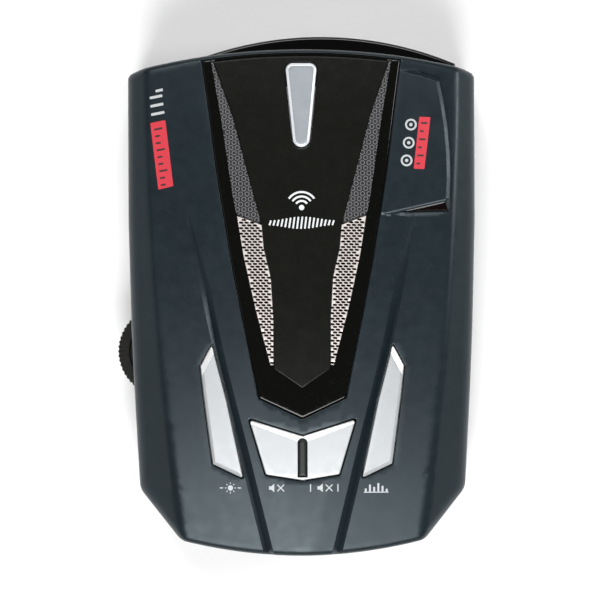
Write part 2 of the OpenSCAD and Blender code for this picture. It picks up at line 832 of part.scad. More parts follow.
top_cover();
bottom_cover();
front_lens();
panel_bezel();
panel_plate();
ring_strip_left();
ring_strip_right();
grille_left();
grille_right();
release_button();
release_latch();
release_spring();
bracket_sleeve();
dim_key();
city_key();
mute_key();
mute_key_rib();
mute_pivot_pin();
dim_dome();
city_dome();
mute_domes();
key_board();
key_board_screws();
rear_laser_window();
rear_laser_lens();
rear_laser_board();
front_laser_lens();
front_laser_board();
display_window();
display_module();
display_board();
display_cable();
main_board();
main_board_screws();
chips();
capacitors();
shield_can();
horn_lower();
horn_upper();
horn_screws();
rf_board();
speaker_frame();
speaker_magnet();
speaker_cone();
speaker_gasket();
speaker_wires();
volume_wheel();
pot_body();
pot_rotor();
wheel_screw();
power_jack();
power_jack_pin();
earphone_jack();
case_screws();
underside_label();
key_cable();
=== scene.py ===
import json
import math
from functools import partial

import bmesh
import bpy
import numpy as np
from mathutils import Matrix, Vector
from mathutils.geometry import delaunay_2d_cdt


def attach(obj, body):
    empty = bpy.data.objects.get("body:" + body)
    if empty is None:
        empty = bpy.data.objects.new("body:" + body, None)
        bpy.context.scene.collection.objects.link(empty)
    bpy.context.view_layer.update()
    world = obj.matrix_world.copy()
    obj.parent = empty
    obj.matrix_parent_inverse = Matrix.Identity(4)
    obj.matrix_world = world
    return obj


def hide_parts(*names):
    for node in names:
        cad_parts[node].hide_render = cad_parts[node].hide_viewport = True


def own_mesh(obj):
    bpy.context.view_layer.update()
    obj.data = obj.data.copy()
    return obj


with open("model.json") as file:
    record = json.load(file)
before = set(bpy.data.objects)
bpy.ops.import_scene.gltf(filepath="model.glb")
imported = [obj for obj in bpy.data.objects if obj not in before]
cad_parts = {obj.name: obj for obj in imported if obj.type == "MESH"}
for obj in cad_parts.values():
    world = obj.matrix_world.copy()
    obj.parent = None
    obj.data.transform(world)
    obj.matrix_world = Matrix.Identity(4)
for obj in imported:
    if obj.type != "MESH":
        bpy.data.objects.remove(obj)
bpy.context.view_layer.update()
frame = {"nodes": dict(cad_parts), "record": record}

# The looks of a windshield-mount radar and laser detector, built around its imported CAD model.
# Sizes are in millimetres and repeat the CAD part's; a mesh is scaled to metres as it is made.
# Most pieces are "layered" solids: a plan cut into zones, each with a top and a bottom height.

MM = 0.001
SIDES = (1, -1)

# ---------- Camera ----------

CAMERA_AT = (-0.0004, -0.0008, 0.87)
CAMERA_LENS = 247.8
CAMERA_ROLL = math.radians(-0.23)

camera_data = bpy.data.cameras.new("camera")
camera_data.lens = CAMERA_LENS
camera_data.clip_start = 0.01
camera = bpy.data.objects.new("camera", camera_data)
camera.location = CAMERA_AT
camera.rotation_euler = (0, 0, CAMERA_ROLL)
bpy.context.scene.collection.objects.link(camera)
bpy.context.scene.camera = camera

# ---------- Sizes ----------

CASE_HALF_W = 35.5
# How far the side lies inside the half width: (y, inset).
CASE_SIDE = [(15, 0.0), (-7, 0.5), (-18, 0.9), (-40, 1.9), (-60, 2.9)]
CASE_FRONT = 50.3
CASE_REAR = 53.3
FRONT_ARC_R = 145
REAR_ARC_R = 102
# The cut corners: a point on the cut, and the angle its outward direction makes with +X.
REAR_CUT = (33.6, -39.7, math.radians(-39.2))
FRONT_CUT = (33.4, 46.4, math.radians(62.4))
CORNER_BLEND = 0.7
SPLIT_Z = 14
WALL = 2
SKIN = 2.2
BOTTOM_INSET = 0.5
CHAMFER = 2.4

CROWN_Z = 30.6
CROWN_R = 330
CREST_Y = 15
# The facets beside the crown: the pivot line's x and z, its yaw, and the tilt.
SHOULDER = (14.8, CROWN_Z, math.radians(9.4), math.radians(9))
FLANK = (31, CROWN_Z - 2.6, math.radians(3.56), math.radians(42))
SHOULDER_BLEND = 0.07
FLANK_BLEND = 0.5
EDGE_R = 1.1

PANEL_T = 1
# The centre panel in plan: right sides from the front of the top to the tip.
PANEL_SIDE = [(20.6, 51), (18.9, 38.3), (17.3, 25.5), (16.4, 19.8), (14.3, 6.8), (12.2, -4.3), (11, -10.1),
              (8.9, -20.8)]
PANEL_TIP = -25
PLATE_SIDE = [(19, 51), (18, 48), (13.9, 36.4), (10.9, 24.9), (8.2, 14.8), (7.7, 9.8), (6.3, 3.8),
              (5.8, -4.4), (5.8, -14.9)]
PLATE_TIP = -18.9
RING_STRIP = [(18.4, 48), (16.3, 35.8), (13.9, 19.5), (13.3, 16.7), (8.2, 14.8), (10.9, 24.9), (13.9, 36.4),
              (18, 48)]
GRILLE = [(13.2, 16.4), (11.9, 8.3), (9.5, -2.6), (6.5, -14.1), (5.8, -14.1), (5.8, -4.4), (6.3, 3.8),
          (7.7, 9.8), (8.1, 14.5)]
SOUND_SLOT = [(13, 16), (11.2, 7), (9, -3), (7, -10), (7, -3), (7.4, 5), (9, 12)]
SPEAKER_R = 14
SOUND_R = SPEAKER_R - 2.4
SEAT_R = (SPEAKER_R - 1.6, SPEAKER_R + 0.6)
SEAT_Z = 26.6

KEY_OUTLINE = [(18.4, -9.9), (20.7, -14.2), (20.1, -20), (18.3, -34.3), (12.2, -37.2), (15.5, -21.5),
               (18, -11.8)]
MUTE_SIDE = [(10.8, -25.2), (7.5, -36.4)]
MUTE_APEX = -28.6
MUTE_FOOT = -37.6
KEY_GAP = 0.25
KEY_PROUD = 0.7
KEY_ROLL = 0.22
KEY_ROLL_LOOPS = (0, 0.015, 0.06, 0.13, KEY_ROLL)
CREASE_SUPPORT = (-0.05, 0, 0.05)
KEY_BOARD_TOP = 19
DOME_TOP = 21.05
SIDE_DOME = (17.6, -24)
MUTE_DOME = (7, -31.5)

GROOVE_START = (23.1, 16.3)
GROOVE_LINE = [(22.6, 14), (19.6, 1.2), (18.1, -6.1), (16.6, -13.3), (14.7, -21.1), (12.2, -31.1), (6.7, -54)]
GROOVE_HALF_W = 1.05
GROOVE_DEPTH = 0.88

HUMP = [(19.2, 46.9), (25, 45.4), (28.2, 44.3), (29.1, 39.8), (29.9, 34.5), (30.35, 29), (30.45, 24),
        (30.25, 20), (30.5, 16.4), (30.5, 15), (22, 15), (15.2, 16.2)]
HUMP_WALL = 0.22
HUMP_BEVEL = 0.7
HUMP_DROP = 0.42
HOUSING_WALL = 1.8
SLOPE_AT = Vector((17, 16.7, 30.55))
SLOPE_TURN = (math.radians(39.6), 0, math.radians(12.7))
SLOPE_WINDOW = [(3.2, -0.5), (12.4, -0.5), (12.6, -3.1)]

# The release button in plan: its front end as (y, half width), its round rear end as (y, radius).
BUTTON_FRONT = (47.4, 3.1)
BUTTON_CORNER_R = 1.4
BUTTON_REAR = (32, 1.7)
BUTTON_FOOT_Z = 26.6

BOSSES = [(28.3, 37), (-28.3, 37), (24, -37), (-24, -37)]
BOSS_R = 3.4
BOSS_BORE_R = 1.45
SCREW_HOLE_R = 1.55
COUNTERBORE_R = 2.8
POSTS = [(-28, 6), (28, -26), (-14, -40), (14, 9)]
POST_R = 2
POST_BORE_R = 0.9
KEY_BOSSES = [(22.6, -27), (-22.6, -27)]
KEY_BOSS_BORE_R = 0.95

SLOT_W = 27
SLOT_Z = (19.6, 25.4)
LENS_R = 72
LENS_X = 3.8
LENS_FRONT = 53.5
LENS_BACK = 44.5
LENS_HALF_W = 28
LENS_Z = (3.2, 18)
LENS_WALL = 1.8
LENS_ROLL = 0.6
WINDOW_HALF_W = 22
WINDOW_Z = (6.5, 19.5)
FIT = 0.1
RECESS_ROLL = 0.24
HOLE_ROLL = 0.17

WHEEL_AT = (-28.7, -11.3)
WHEEL_Z = (10.6, 13.6)
WHEEL_R = 9.5
JACK_Z = 10.6
POWER_Y = 1
EARPHONE_Y = -14
LABEL_Y = 14

# ---------- Outlines ----------


def mirrored(points):
    return [(-x, y) for x, y in points]


def sided(points, side):
    return [(side * x, y) for x, y in points]


def both_sides(side, tip):
    """A closed outline from its right side: down the right, through the tip, up the left."""
    return list(side) + [(0, tip)] + mirrored(side)[::-1]


def grown(points, distance):
    """A closed outline moved outwards, its corners kept sharp."""
    p = np.array(points, float)
    before, after = p - np.roll(p, 1, 0), np.roll(p, -1, 0) - p
    turn = np.sign(np.sum(p[:, 0] * np.roll(p, -1, 0)[:, 1] - np.roll(p, -1, 0)[:, 0] * p[:, 1]))
    a, b = (np.stack([e[:, 1], -e[:, 0]], 1) / np.linalg.norm(e, axis=1)[:, None] for e in (before, after))
    return p + turn * distance * (a + b) / (1 + np.sum(a * b, 1))[:, None]


def rounded(points, radius, steps=6):
    """A closed outline with each corner turned into a curve of about this radius."""
    p = [Vector(q) for q in points]
    out = []
    for i, corner in enumerate(p):
        a, b = p[i - 1] - corner, p[(i + 1) % len(p)] - corner
        angle = a.angle(b)
        reach = min(radius / math.tan(angle / 2), 0.45 * a.length, 0.45 * b.length)
        if reach < 0.02:
            out.append(corner)
            continue
        start, end = corner + a.normalized() * reach, corner + b.normalized() * reach
        for k in range(steps + 1):
            t = k / steps
            out.append(start * (1 - t) ** 2 + corner * 2 * t * (1 - t) + end * t ** 2)
    return [(q.x, q.y) for q in out]


def rectangle(half_w, half_h):
    return [(half_w, half_h), (-half_w, half_h), (-half_w, -half_h), (half_w, -half_h)]


def circle(at, radius, count=32):
    angles = [2 * math.pi * i / count for i in range(count)]
    return [(at[0] + radius * math.cos(a), at[1] + radius * math.sin(a)) for a in angles]


def circles(places, *radii, count=32):
    return [circle(at, radius, count) for at in places for radius in radii]


def bar(start, end, width):
    """The outline of a straight stroke with slightly rounded ends."""
    a, b = Vector(start), Vector(end)
    across = (b - a).normalized().orthogonal() * width / 2
    return rounded([a + across, a - across, b - across, b + across], width * 0.25, 3)


def arc(at, radius, start, end, steps=14):
    """Points along part of a circle, its angles in degrees."""
    angles = [math.radians(start + (end - start) * i / steps) for i in range(steps + 1)]
    return [(at[0] + radius * math.cos(a), at[1] + radius * math.sin(a)) for a in angles]


def button_outline(growth=0.0):
    """The release button in plan: rounded front corners, closing sides and a round rear end."""
    x = BUTTON_FRONT[1] - BUTTON_CORNER_R
    y = BUTTON_FRONT[0] - BUTTON_CORNER_R
    corner_r = BUTTON_CORNER_R + growth
    front = arc((x, y), corner_r, 0, 90) + arc((-x, y), corner_r, 90, 180)
    return front + arc((0, BUTTON_REAR[0]), BUTTON_REAR[1] + growth, 180, 360)


def arc_line(centre_y, radius, half_w, sign, centre_x=0.0):
    """An open arc that runs across the plan, at the front or the rear of its centre."""
    reach = math.asin(half_w / radius)
    return [(centre_x + radius * math.sin(a), centre_y + sign * radius * math.cos(a))
            for a in np.linspace(-reach, reach, 60)]


def depth_in(points, x, y):
    """How far inside a closed outline each place lies; negative outside it."""
    a = np.array(points, float)
    e = np.roll(a, -1, 0) - a
    px, py = x[:, None] - a[:, 0], y[:, None] - a[:, 1]
    t = np.clip((px * e[:, 0] + py * e[:, 1]) / (e ** 2).sum(1).clip(1e-12), 0, 1)
    near = np.hypot(px - t * e[:, 0], py - t * e[:, 1]).min(1)
    crosses = (py < 0) != (py < e[:, 1])
    level = np.where(e[:, 1] == 0, 1e-12, e[:, 1])
    inside = (crosses & (px < py * e[:, 0] / level)).sum(1) % 2 == 1
    return np.where(inside, near, -near)


def within(outline, x, y):
    return depth_in(outline, x, y) > 0


def within_any(outlines, x, y):
    return np.any([within(outline, x, y) for outline in outlines], axis=0)


def inside(outline):
    return partial(within, outline)


def near_low(a, b, blend):
    """The lower of two heights, the crease between them rounded."""
    overlap = np.clip(blend - np.abs(a - b), 0, None)
    return np.minimum(a, b) - overlap ** 2 / (4 * blend)


def rolled(depth, radius):
    """How far a rounded edge of this radius has dropped, at a depth inside the edge."""
    left = radius - np.clip(depth, 0, radius)
    return radius - np.sqrt(np.clip(radius ** 2 - left ** 2, 0, None))


def case_depth(x, y):
    """How far inside the upper cover's plan outline a place lies."""
    ys, insets = zip(*CASE_SIDE[::-1])
    depth = CASE_HALF_W - np.interp(y, ys, insets) - np.abs(x)
    depth = near_low(depth, FRONT_ARC_R - np.hypot(x, y - CASE_FRONT + FRONT_ARC_R), CORNER_BLEND)
    depth = near_low(depth, REAR_ARC_R - np.hypot(x, y + CASE_REAR - REAR_ARC_R), CORNER_BLEND)
    for cut_x, cut_y, angle in (REAR_CUT, FRONT_CUT):
        beyond = (np.abs(x) - cut_x) * math.cos(angle) + (y - cut_y) * math.sin(angle)
        depth = near_low(depth, -beyond, CORNER_BLEND)
    return depth


def case_loop(inset, count=460):
    """The upper cover's plan outline, moved inwards."""
    turn = np.linspace(0, 2 * np.pi, count, endpoint=False)
    low, high = np.full(count, 20.0), np.full(count, 80.0)
    for _ in range(40):
        middle = (low + high) / 2
        inside = case_depth(middle * np.cos(turn), middle * np.sin(turn)) > inset
        low, high = np.where(inside, middle, low), np.where(inside, high, middle)
    return list(zip(low * np.cos(turn), low * np.sin(turn)))


def front_depth(x, y, inset):
    """How far behind the case's front edge, moved inwards, a place lies."""
    return FRONT_ARC_R - inset - np.hypot(x, y - CASE_FRONT + FRONT_ARC_R)


PANEL = rounded(both_sides(PANEL_SIDE, PANEL_TIP), 0.8)
PLATE = both_sides(PLATE_SIDE, PLATE_TIP)
MUTE = [(0, MUTE_APEX)] + MUTE_SIDE + [(0, MUTE_FOOT)] + mirrored(MUTE_SIDE)[::-1]

# ---------- Heights ----------


def dome(offset, depth):
    return np.sqrt((CROWN_R - depth) ** 2 - offset ** 2) - CROWN_R


def crown(x, y, depth=0.0):
    """The crowned top over the centre panel, depth below it."""
    return CROWN_Z + dome(y - CREST_Y, depth) + 0 * x


def facet(x, y, shape, side, depth=0.0):
    """The crown turned and tilted down on one side: a shoulder or a flank."""
    pivot_x, pivot_z, yaw, tilt = shape
    dx, dy = side * x - pivot_x, y - CREST_Y
    across = dx * math.cos(yaw) - dy * math.sin(yaw)
    along = dx * math.sin(yaw) + dy * math.cos(yaw)
    return pivot_z + (dome(along, depth) - across * math.sin(tilt)) / math.cos(tilt)


def case_height(x, y, depth=0.0):
    z = crown(x, y, depth)
    for side in SIDES:
        z = near_low(z, facet(x, y, SHOULDER, side, depth), SHOULDER_BLEND)
    for side in SIDES:
        z = near_low(z, facet(x, y, FLANK, side, depth), FLANK_BLEND)
    return z


SLOPE_MATRIX = Matrix.Rotation(SLOPE_TURN[2], 4, "Z") @ Matrix.Rotation(SLOPE_TURN[0], 4, "X")
SLOPE_NORMAL = SLOPE_MATRIX.to_3x3() @ Vector((0, 0, 1))
SLOPE_PLACE = Matrix.Translation(SLOPE_AT) @ SLOPE_MATRIX


def slope(x, y, depth=0.0):
    """The laser housing's rear slope, depth below it along its normal."""
    n = SLOPE_NORMAL
    return SLOPE_AT.z - ((x - SLOPE_AT.x) * n.x + (y - SLOPE_AT.y) * n.y + depth) / n.z


def groove_width(y):
    return GROOVE_HALF_W * np.clip(0.3 + (16.9 - y) / 22, 0.02, 1)


def groove_centre(y):
    xs, ys = zip(*reversed([GROOVE_START] + GROOVE_LINE))
    return np.interp(y, ys, xs)


def groove(x, y, side):
    """How deep one long groove is: a V that starts from a point."""
    t = np.abs(side * x - groove_centre(y)) / groove_width(y)
    fade = np.clip((GROOVE_START[1] + 0.6 - y) / 24, 0, 1)
    return GROOVE_DEPTH * fade * np.clip(1 - t, 0, 1)


HUMP_LOOP = rounded(HUMP, 1.2)


def housing(x, y, base):
    """The surface with the laser housing on it: a steep wall, a narrow bevel, a flat top and a rear slope."""
    top = near_low(crown(x, y), slope(x, y), 0.22)
    depth = depth_in(HUMP_LOOP, x, y)
    bevel = HUMP_DROP * np.clip(1 - (depth - HUMP_WALL) / HUMP_BEVEL, 0, 1)
    return base + np.clip(top - bevel - base, 0, None) * np.clip(depth / HUMP_WALL, 0, 1)


def key_hole(side, more=0.0):
    return rounded(grown(sided(KEY_OUTLINE, side), KEY_GAP + more), 0.7)


def mute_hole(more=0.0):
    return rounded(grown(MUTE, KEY_GAP + more), 0.5)


def fronted(outline, inset, x, y):
    """How far inside an outline a place lies that also ends this far behind the front edge."""
    return np.minimum(depth_in(outline, x, y), front_depth(x, y, inset))


def recess_depth(x, y):
    return fronted(grown(PANEL, FIT), 0.7, x, y)


def cover_height(x, y):
    """The upper cover's outer surface."""
    z = case_height(x, y)
    for side in SIDES:
        z = z - groove(x, y, side)
    z = housing(x, y, z)
    z = z - rolled(case_depth(x, y), EDGE_R)
    for hole in (key_hole(1), key_hole(-1), mute_hole()):
        z = z - rolled(-depth_in(hole, x, y), HOLE_ROLL)
    return z - rolled(-recess_depth(x, y), RECESS_ROLL)


# ---------- Mesh making ----------

SHARP_ANGLE = math.radians(32)
JOIN_WITHIN = 2e-6
EMPTY_BELOW = 1e-6


def resampled(points, step, closed=True):
    """The line with enough points that no stretch is longer than step."""
    p = [np.array(q, float) for q in points]
    out = []
    for a, b in zip(p, p[1:] + (p[:1] if closed else [])):
        parts = max(1, math.ceil(np.linalg.norm(b - a) / step))
        out += [a + (b - a) * i / parts for i in range(parts)]
    return out if closed else out + [p[-1]]


def triangles_over(loops, lines, step):
    """A fine triangle mesh of the plan that follows every loop and line. Returns places and triangles."""
    points, edges = [], []
    for line, closed in [(q, True) for q in loops] + [(q, False) for q in lines]:
        first = len(points)
        found = resampled(line, step, closed)
        points += found
        last = len(points) - 1
        edges += [(i, i + 1) for i in range(first, last)]
        if closed:
            edges.append((last, first))
    on_lines = np.array(points)
    low, high = on_lines.min(0), on_lines.max(0)
    grid_x, grid_y = np.meshgrid(np.arange(low[0], high[0], step), np.arange(low[1], high[1], step * 0.866))
    grid_x[::2] += step / 2
    grid = np.stack([grid_x.ravel(), grid_y.ravel()], 1)
    clear = [g for part in np.array_split(grid, max(1, len(grid) // 500))
             for g, gap in zip(part, np.hypot(part[:, None, 0] - on_lines[:, 0],
                                              part[:, None, 1] - on_lines[:, 1]).min(1)) if gap > step * 0.5]
    made = delaunay_2d_cdt([Vector(q) for q in points + clear], edges, [], 0, 1e-4)
    places = np.array([tuple(q) for q in made[0]])
    return places, np.array([f for f in made[2]])


def layered(zones, loops, lines=(), step=1.0):
    """A closed solid over the plan. zones lists (test, top, bottom) and the first test that holds counts:
    a place is in the solid from bottom to top, or in a hole where top is None. Returns vertices, faces and
    the zone of each face, walls included."""
    places, triangles = triangles_over(loops, lines, step)
    centre = places[triangles].mean(1)
    zone = np.full(len(triangles), -1)
    for i, (test, top, _) in reversed(list(enumerate(zones))):
        zone[test(centre[:, 0], centre[:, 1])] = i if top else -1
    heights = {i: [np.round(f(places[:, 0], places[:, 1]) + np.zeros(len(places)), 5) for f in zones[i][1:3]]
               for i in set(zone) - {-1}}
    made, verts, faces, face_zone = {}, [], [], []
    levels = {}

    def vertex(i, z):
        if (i, z) not in made:
            made[i, z] = len(verts)
            verts.append((places[i][0], places[i][1], z))
            levels.setdefault(i, set()).add(z)
        return made[i, z]

    sides_of = {}
    for triangle, z in zip(triangles.tolist(), zone.tolist()):
        for k in range(3):
            sides_of[triangle[k], triangle[(k + 1) % 3]] = z
        if z < 0:
            continue
        top, bottom = heights[z]
        faces.append([vertex(i, top[i]) for i in triangle])
        faces.append([vertex(i, bottom[i]) for i in reversed(triangle)])
        face_zone += [z, z]
    walls = []
    for (a, b), z in sides_of.items():
        other = sides_of.get((b, a), -1)
        if z < 0 or z == other:
            continue
        top, bottom = heights[z]
        if other < 0:
            walls.append((a, b, bottom, top, z))
            continue
        other_top, other_bottom = heights[other]
        if top[a] + top[b] > other_top[a] + other_top[b]:
            walls.append((a, b, np.minimum(other_top, top), top, z))
        if bottom[a] + bottom[b] < other_bottom[a] + other_bottom[b]:
            walls.append((a, b, bottom, np.maximum(other_bottom, bottom), z))
    for a, b, low, high, z in walls:
        rise_a = sorted(v for v in levels[a] if low[a] <= v <= high[a])
        rise_b = sorted(v for v in levels[b] if low[b] <= v <= high[b])
        face = [made[a, v] for v in rise_a[:1]] + [made[b, v] for v in rise_b]
        face += [made[a, v] for v in rise_a[:0:-1]]
        if len(face) > 2:
            faces.append(face)
            face_zone.append(z)
    return verts, faces, face_zone


def new_mesh(name, verts, faces, place=None):
    mesh = bpy.data.meshes.new(name)
    mesh.from_pydata([tuple(v) for v in verts], [], faces)
    if place is not None:
        mesh.transform(place)
    mesh.transform(Matrix.Scale(MM, 4))
    mesh.validate()
    return mesh


def tidied(mesh):
    """Joins places that coincide, drops empty faces and shades the mesh, sharp above SHARP_ANGLE."""
    work = bmesh.new()
    work.from_mesh(mesh)
    bmesh.ops.remove_doubles(work, verts=work.verts, dist=JOIN_WITHIN)
    bmesh.ops.dissolve_degenerate(work, edges=work.edges, dist=EMPTY_BELOW)
    work.to_mesh(mesh)
    work.free()
    mesh.shade_smooth()
    mesh.set_sharp_from_angle(angle=SHARP_ANGLE)


def new_object(name, mesh):
    made = bpy.data.objects.new(name, mesh)
    bpy.context.scene.collection.objects.link(made)
    return made


def piece(name, shape, body, materials, replaces=(), place=None, paint=None):
    """A finished piece from (vertices, faces, zones); paint maps a zone to the index of its material."""
    verts, faces, face_zone = shape
    made = new_object(name, new_mesh(name, verts, faces, place))
    for material in materials:
        made.data.materials.append(material)
    if paint:
        made.data.polygons.foreach_set("material_index", [paint.get(z, 0) for z in face_zone])
    tidied(made.data)
    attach(made, body)
    if replaces:
        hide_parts(*replaces)
    return made


def carve(target, *cutters):
    """Cuts closed meshes, given as (vertices, faces, place), out of a piece."""
    tools = []
    for i, (verts, faces, place) in enumerate(cutters):
        tool = new_object(f"cutter_{i}", new_mesh(f"cutter_{i}", verts, faces, place))
        modifier = target.modifiers.new(tool.name, "BOOLEAN")
        modifier.operation = "DIFFERENCE"
        modifier.solver = "MANIFOLD"
        modifier.object = tool
        tools.append(tool)
    result = bpy.data.meshes.new_from_object(target.evaluated_get(bpy.context.evaluated_depsgraph_get()))
    target.modifiers.clear()
    target.data = result
    tidied(result)
    for tool in tools:
        bpy.data.objects.remove(tool)


def level(z):
    """A flat top or bottom for a zone."""
    return lambda x, y: z + 0 * x


def insets(outline, *distances):
    """The outline moved inwards by each distance."""
    return [grown(outline, -d) if d else outline for d in distances]


def prism(outline, low, high, place=None):
    """A cutter with straight sides over an outline that runs anticlockwise."""
    n = len(outline)
    verts = [(x, y, z) for z in (low, high) for x, y in outline]
    faces = [list(range(n))[::-1], list(range(n, 2 * n))]
    faces += [[i, (i + 1) % n, (i + 1) % n + n, i + n] for i in range(n)]
    return verts, faces, place


def turned(profile, count=48, ripple=None):
    """A solid of revolution about Z from a closed profile of (radius, height); ripple changes the radius."""
    verts, faces = [], []
    n = len(profile)
    for i in range(count):
        a = 2 * math.pi * i / count
        for radius, z in profile:
            r = ripple(radius, a) if ripple else radius
            verts.append((r * math.cos(a), r * math.sin(a), z))
    for i in range(count):
        for k in range(n):
            here, there = i * n, ((i + 1) % count) * n
            faces.append([here + k, there + k, there + (k + 1) % n, here + (k + 1) % n])
    return verts, faces, [0] * len(faces)


def rod(radius, start, end):
    """A round cutter between two points."""
    a, b = Vector(start), Vector(end)
    place = Matrix.Translation(a) @ (b - a).to_track_quat("Z", "Y").to_matrix().to_4x4()
    return prism(circle((0, 0), radius, 40), 0, (b - a).length, place)


# ---------- Materials ----------


class Nodes:
    """A short way to write a material's node tree."""

    def __init__(self, name):
        self.material = bpy.data.materials.new(name)
        self.material.use_nodes = True
        self.tree = self.material.node_tree
        self.shader = self.tree.nodes["Principled BSDF"]
        self.place = self.add("ShaderNodeTexCoord").outputs["Object"]

    def add(self, kind, **values):
        node = self.tree.nodes.new(kind)
        for key, value in values.items():
            setattr(node, key, value)
        return node

    def put(self, socket, value):
        """Feeds a socket with an output, a colour or a number."""
        if isinstance(value, bpy.types.NodeSocket):
            self.tree.links.new(value, socket)
        elif isinstance(value, tuple):
            socket.default_value = (*value, 1)
        else:
            socket.default_value = value

    def feed(self, name, value):
        """Feeds one of the shader's inputs."""
        self.put(self.shader.inputs[name], value)

    def noise(self, size, detail=3.0, stretch=(1, 1, 1)):
        """Noise whose features are about size millimetres across, longer where stretch is above 1."""
        mapping = self.add("ShaderNodeMapping")
        mapping.inputs["Scale"].default_value = [1 / (size * MM * s) for s in stretch]
        self.put(mapping.inputs["Vector"], self.place)
        noise = self.add("ShaderNodeTexNoise")
        noise.inputs["Scale"].default_value = 1
        noise.inputs["Detail"].default_value = detail
        self.put(noise.inputs["Vector"], mapping.outputs["Vector"])
        return noise.outputs["Fac"]

    def spread(self, value, low, high, start=0.0, end=1.0):
        """The value mapped from one range to another."""
        node = self.add("ShaderNodeMapRange")
        names = ("Value", "From Min", "From Max", "To Min", "To Max")
        for name, given in zip(names, (value, start, end, low, high)):
            self.put(node.inputs[name], given)
        return node.outputs["Result"]

    def mix(self, factor, a, b):
        """Two colours mixed; each is a colour or an output."""
        node = self.add("ShaderNodeMix", data_type="RGBA")
        for socket, given in ((0, factor), (6, a), (7, b)):
            self.put(node.inputs[socket], given)
        return node.outputs[2]

    def times(self, a, b):
        node = self.add("ShaderNodeMath", operation="MULTIPLY")
        self.put(node.inputs[0], a)
        self.put(node.inputs[1], b)
        return node.outputs[0]

    def bump(self, *layers):
        """Bumps on top of each other, each given as (output, height in millimetres, strength)."""
        last = None
        for value, height, strength in layers:
            node = self.add("ShaderNodeBump")
            node.inputs["Distance"].default_value = height * MM
            node.inputs["Strength"].default_value = strength
            self.put(node.inputs["Height"], value)
            if last:
                self.put(node.inputs["Normal"], last)
            last = node.outputs["Normal"]
        self.feed("Normal", last)

    def edges(self):
        """1 on sharp outer edges, 0 elsewhere, broken up by noise: partly edge wear, partly a painted
        highlight.
        """
        pointed = self.add("ShaderNodeNewGeometry").outputs["Pointiness"]
        edge = self.spread(pointed, 0, 1, 0.52, 0.62)
        return self.times(edge, self.spread(self.noise(1.6, 4), 0, 1, 0.35, 0.7))


def scaled(colour, factor):
    return tuple(min(1, c * factor) for c in colour)


def plastic(name, colour, roughness, grain=0.12, grain_height=0.006, edge_wear_and_highlight=0.35, specular=0.5, speck=1.3,
            glint=(1, 1, 1)):
    """Moulded plastic: fine grain, faint flow marks in colour and gloss, and paler edges that are partly
    rubbed wear and partly a painted highlight.
    """
    n = Nodes(name)
    mottled = n.mix(n.spread(n.noise(7, 4), 0, 1, 0.3, 0.7), scaled(colour, 0.88), scaled(colour, 1.12))
    speckled = n.mix(n.spread(n.noise(0.35, 2), 0, 0.5, 0.45, 0.75), mottled, scaled(colour, speck))
    # Paler colour on sharp edges: partly rubbed wear, partly a painted highlight.
    pale = tuple(c * 1.6 + 0.012 for c in colour)
    n.feed("Base Color", n.mix(n.times(n.edges(), edge_wear_and_highlight), speckled, pale))
    n.feed("Roughness", n.spread(n.noise(2.2, 5), roughness * 0.88, min(1, roughness * 1.12), 0.25, 0.75))
    n.feed("Specular IOR Level", specular)
    n.feed("Specular Tint", glint)
    n.bump((n.noise(grain, 2), grain_height, 0.5), (n.noise(grain * 4, 3), grain_height * 0.7, 0.25))
    return n.material


def gloss(name, colour, roughness, specular=0.5):
    """Polished plastic: almost smooth, with faint ripples, hairline scratches and a little dust."""
    n = Nodes(name)
    dust = n.spread(n.noise(0.4, 3), 0, 1, 0.62, 0.8)
    scratches = n.spread(n.noise(0.5, 3, (0.2, 8, 1)), 0, 1, 0.55, 0.75)
    n.feed("Base Color", n.mix(dust, colour, tuple(c + 0.007 for c in colour)))
    n.feed("Roughness", n.spread(scratches, roughness, roughness + 0.1))
    n.feed("Specular IOR Level", specular)
    n.bump((n.noise(9, 2), 0.02, 0.25), (scratches, 0.002, 0.2))
    return n.material


def metal(name, colour, roughness, metallic=1.0, brush=(1, 1, 1), grain=0.15, height=0.004):
    """Metal or metallic paint: fine brushed or flaky grain, uneven gloss and brighter edges, partly worn and
    partly a painted highlight.
    """
    n = Nodes(name)
    flake = n.spread(n.noise(grain, 2, brush), 0, 1, 0.3, 0.7)
    base = n.mix(flake, scaled(colour, 0.9), scaled(colour, 1.08))
    cloudy = n.mix(n.spread(n.noise(5, 3), 0, 0.35, 0.35, 0.7), base, scaled(colour, 0.86))
    uneven = n.noise(1.5, 4, brush)
    # Brighter colour on sharp edges: partly wear, partly a painted highlight.
    n.feed("Base Color", n.mix(n.times(n.edges(), 0.3), cloudy, scaled(colour, 1.3)))
    n.feed("Metallic", metallic)
    n.feed("Roughness", n.spread(uneven, roughness * 0.85, min(1, roughness * 1.2), 0.25, 0.75))
    n.bump((n.noise(grain, 2, brush), height, 0.4), (n.noise(3, 3), height * 2, 0.2))
    return n.material


def ink(name, colour, roughness=0.45):
    """Pad-printed ink: slightly uneven cover with tiny worn specks."""
    n = Nodes(name)
    worn = n.spread(n.noise(0.25, 3), 0, 0.35, 0.6, 0.8)
    n.feed("Base Color", n.mix(worn, colour, scaled(colour, 0.55)))
    n.feed("Roughness", n.spread(n.noise(0.8, 4), roughness - 0.06, roughness + 0.1))
    n.bump((n.noise(0.12, 2), 0.004, 0.35))
    return n.material


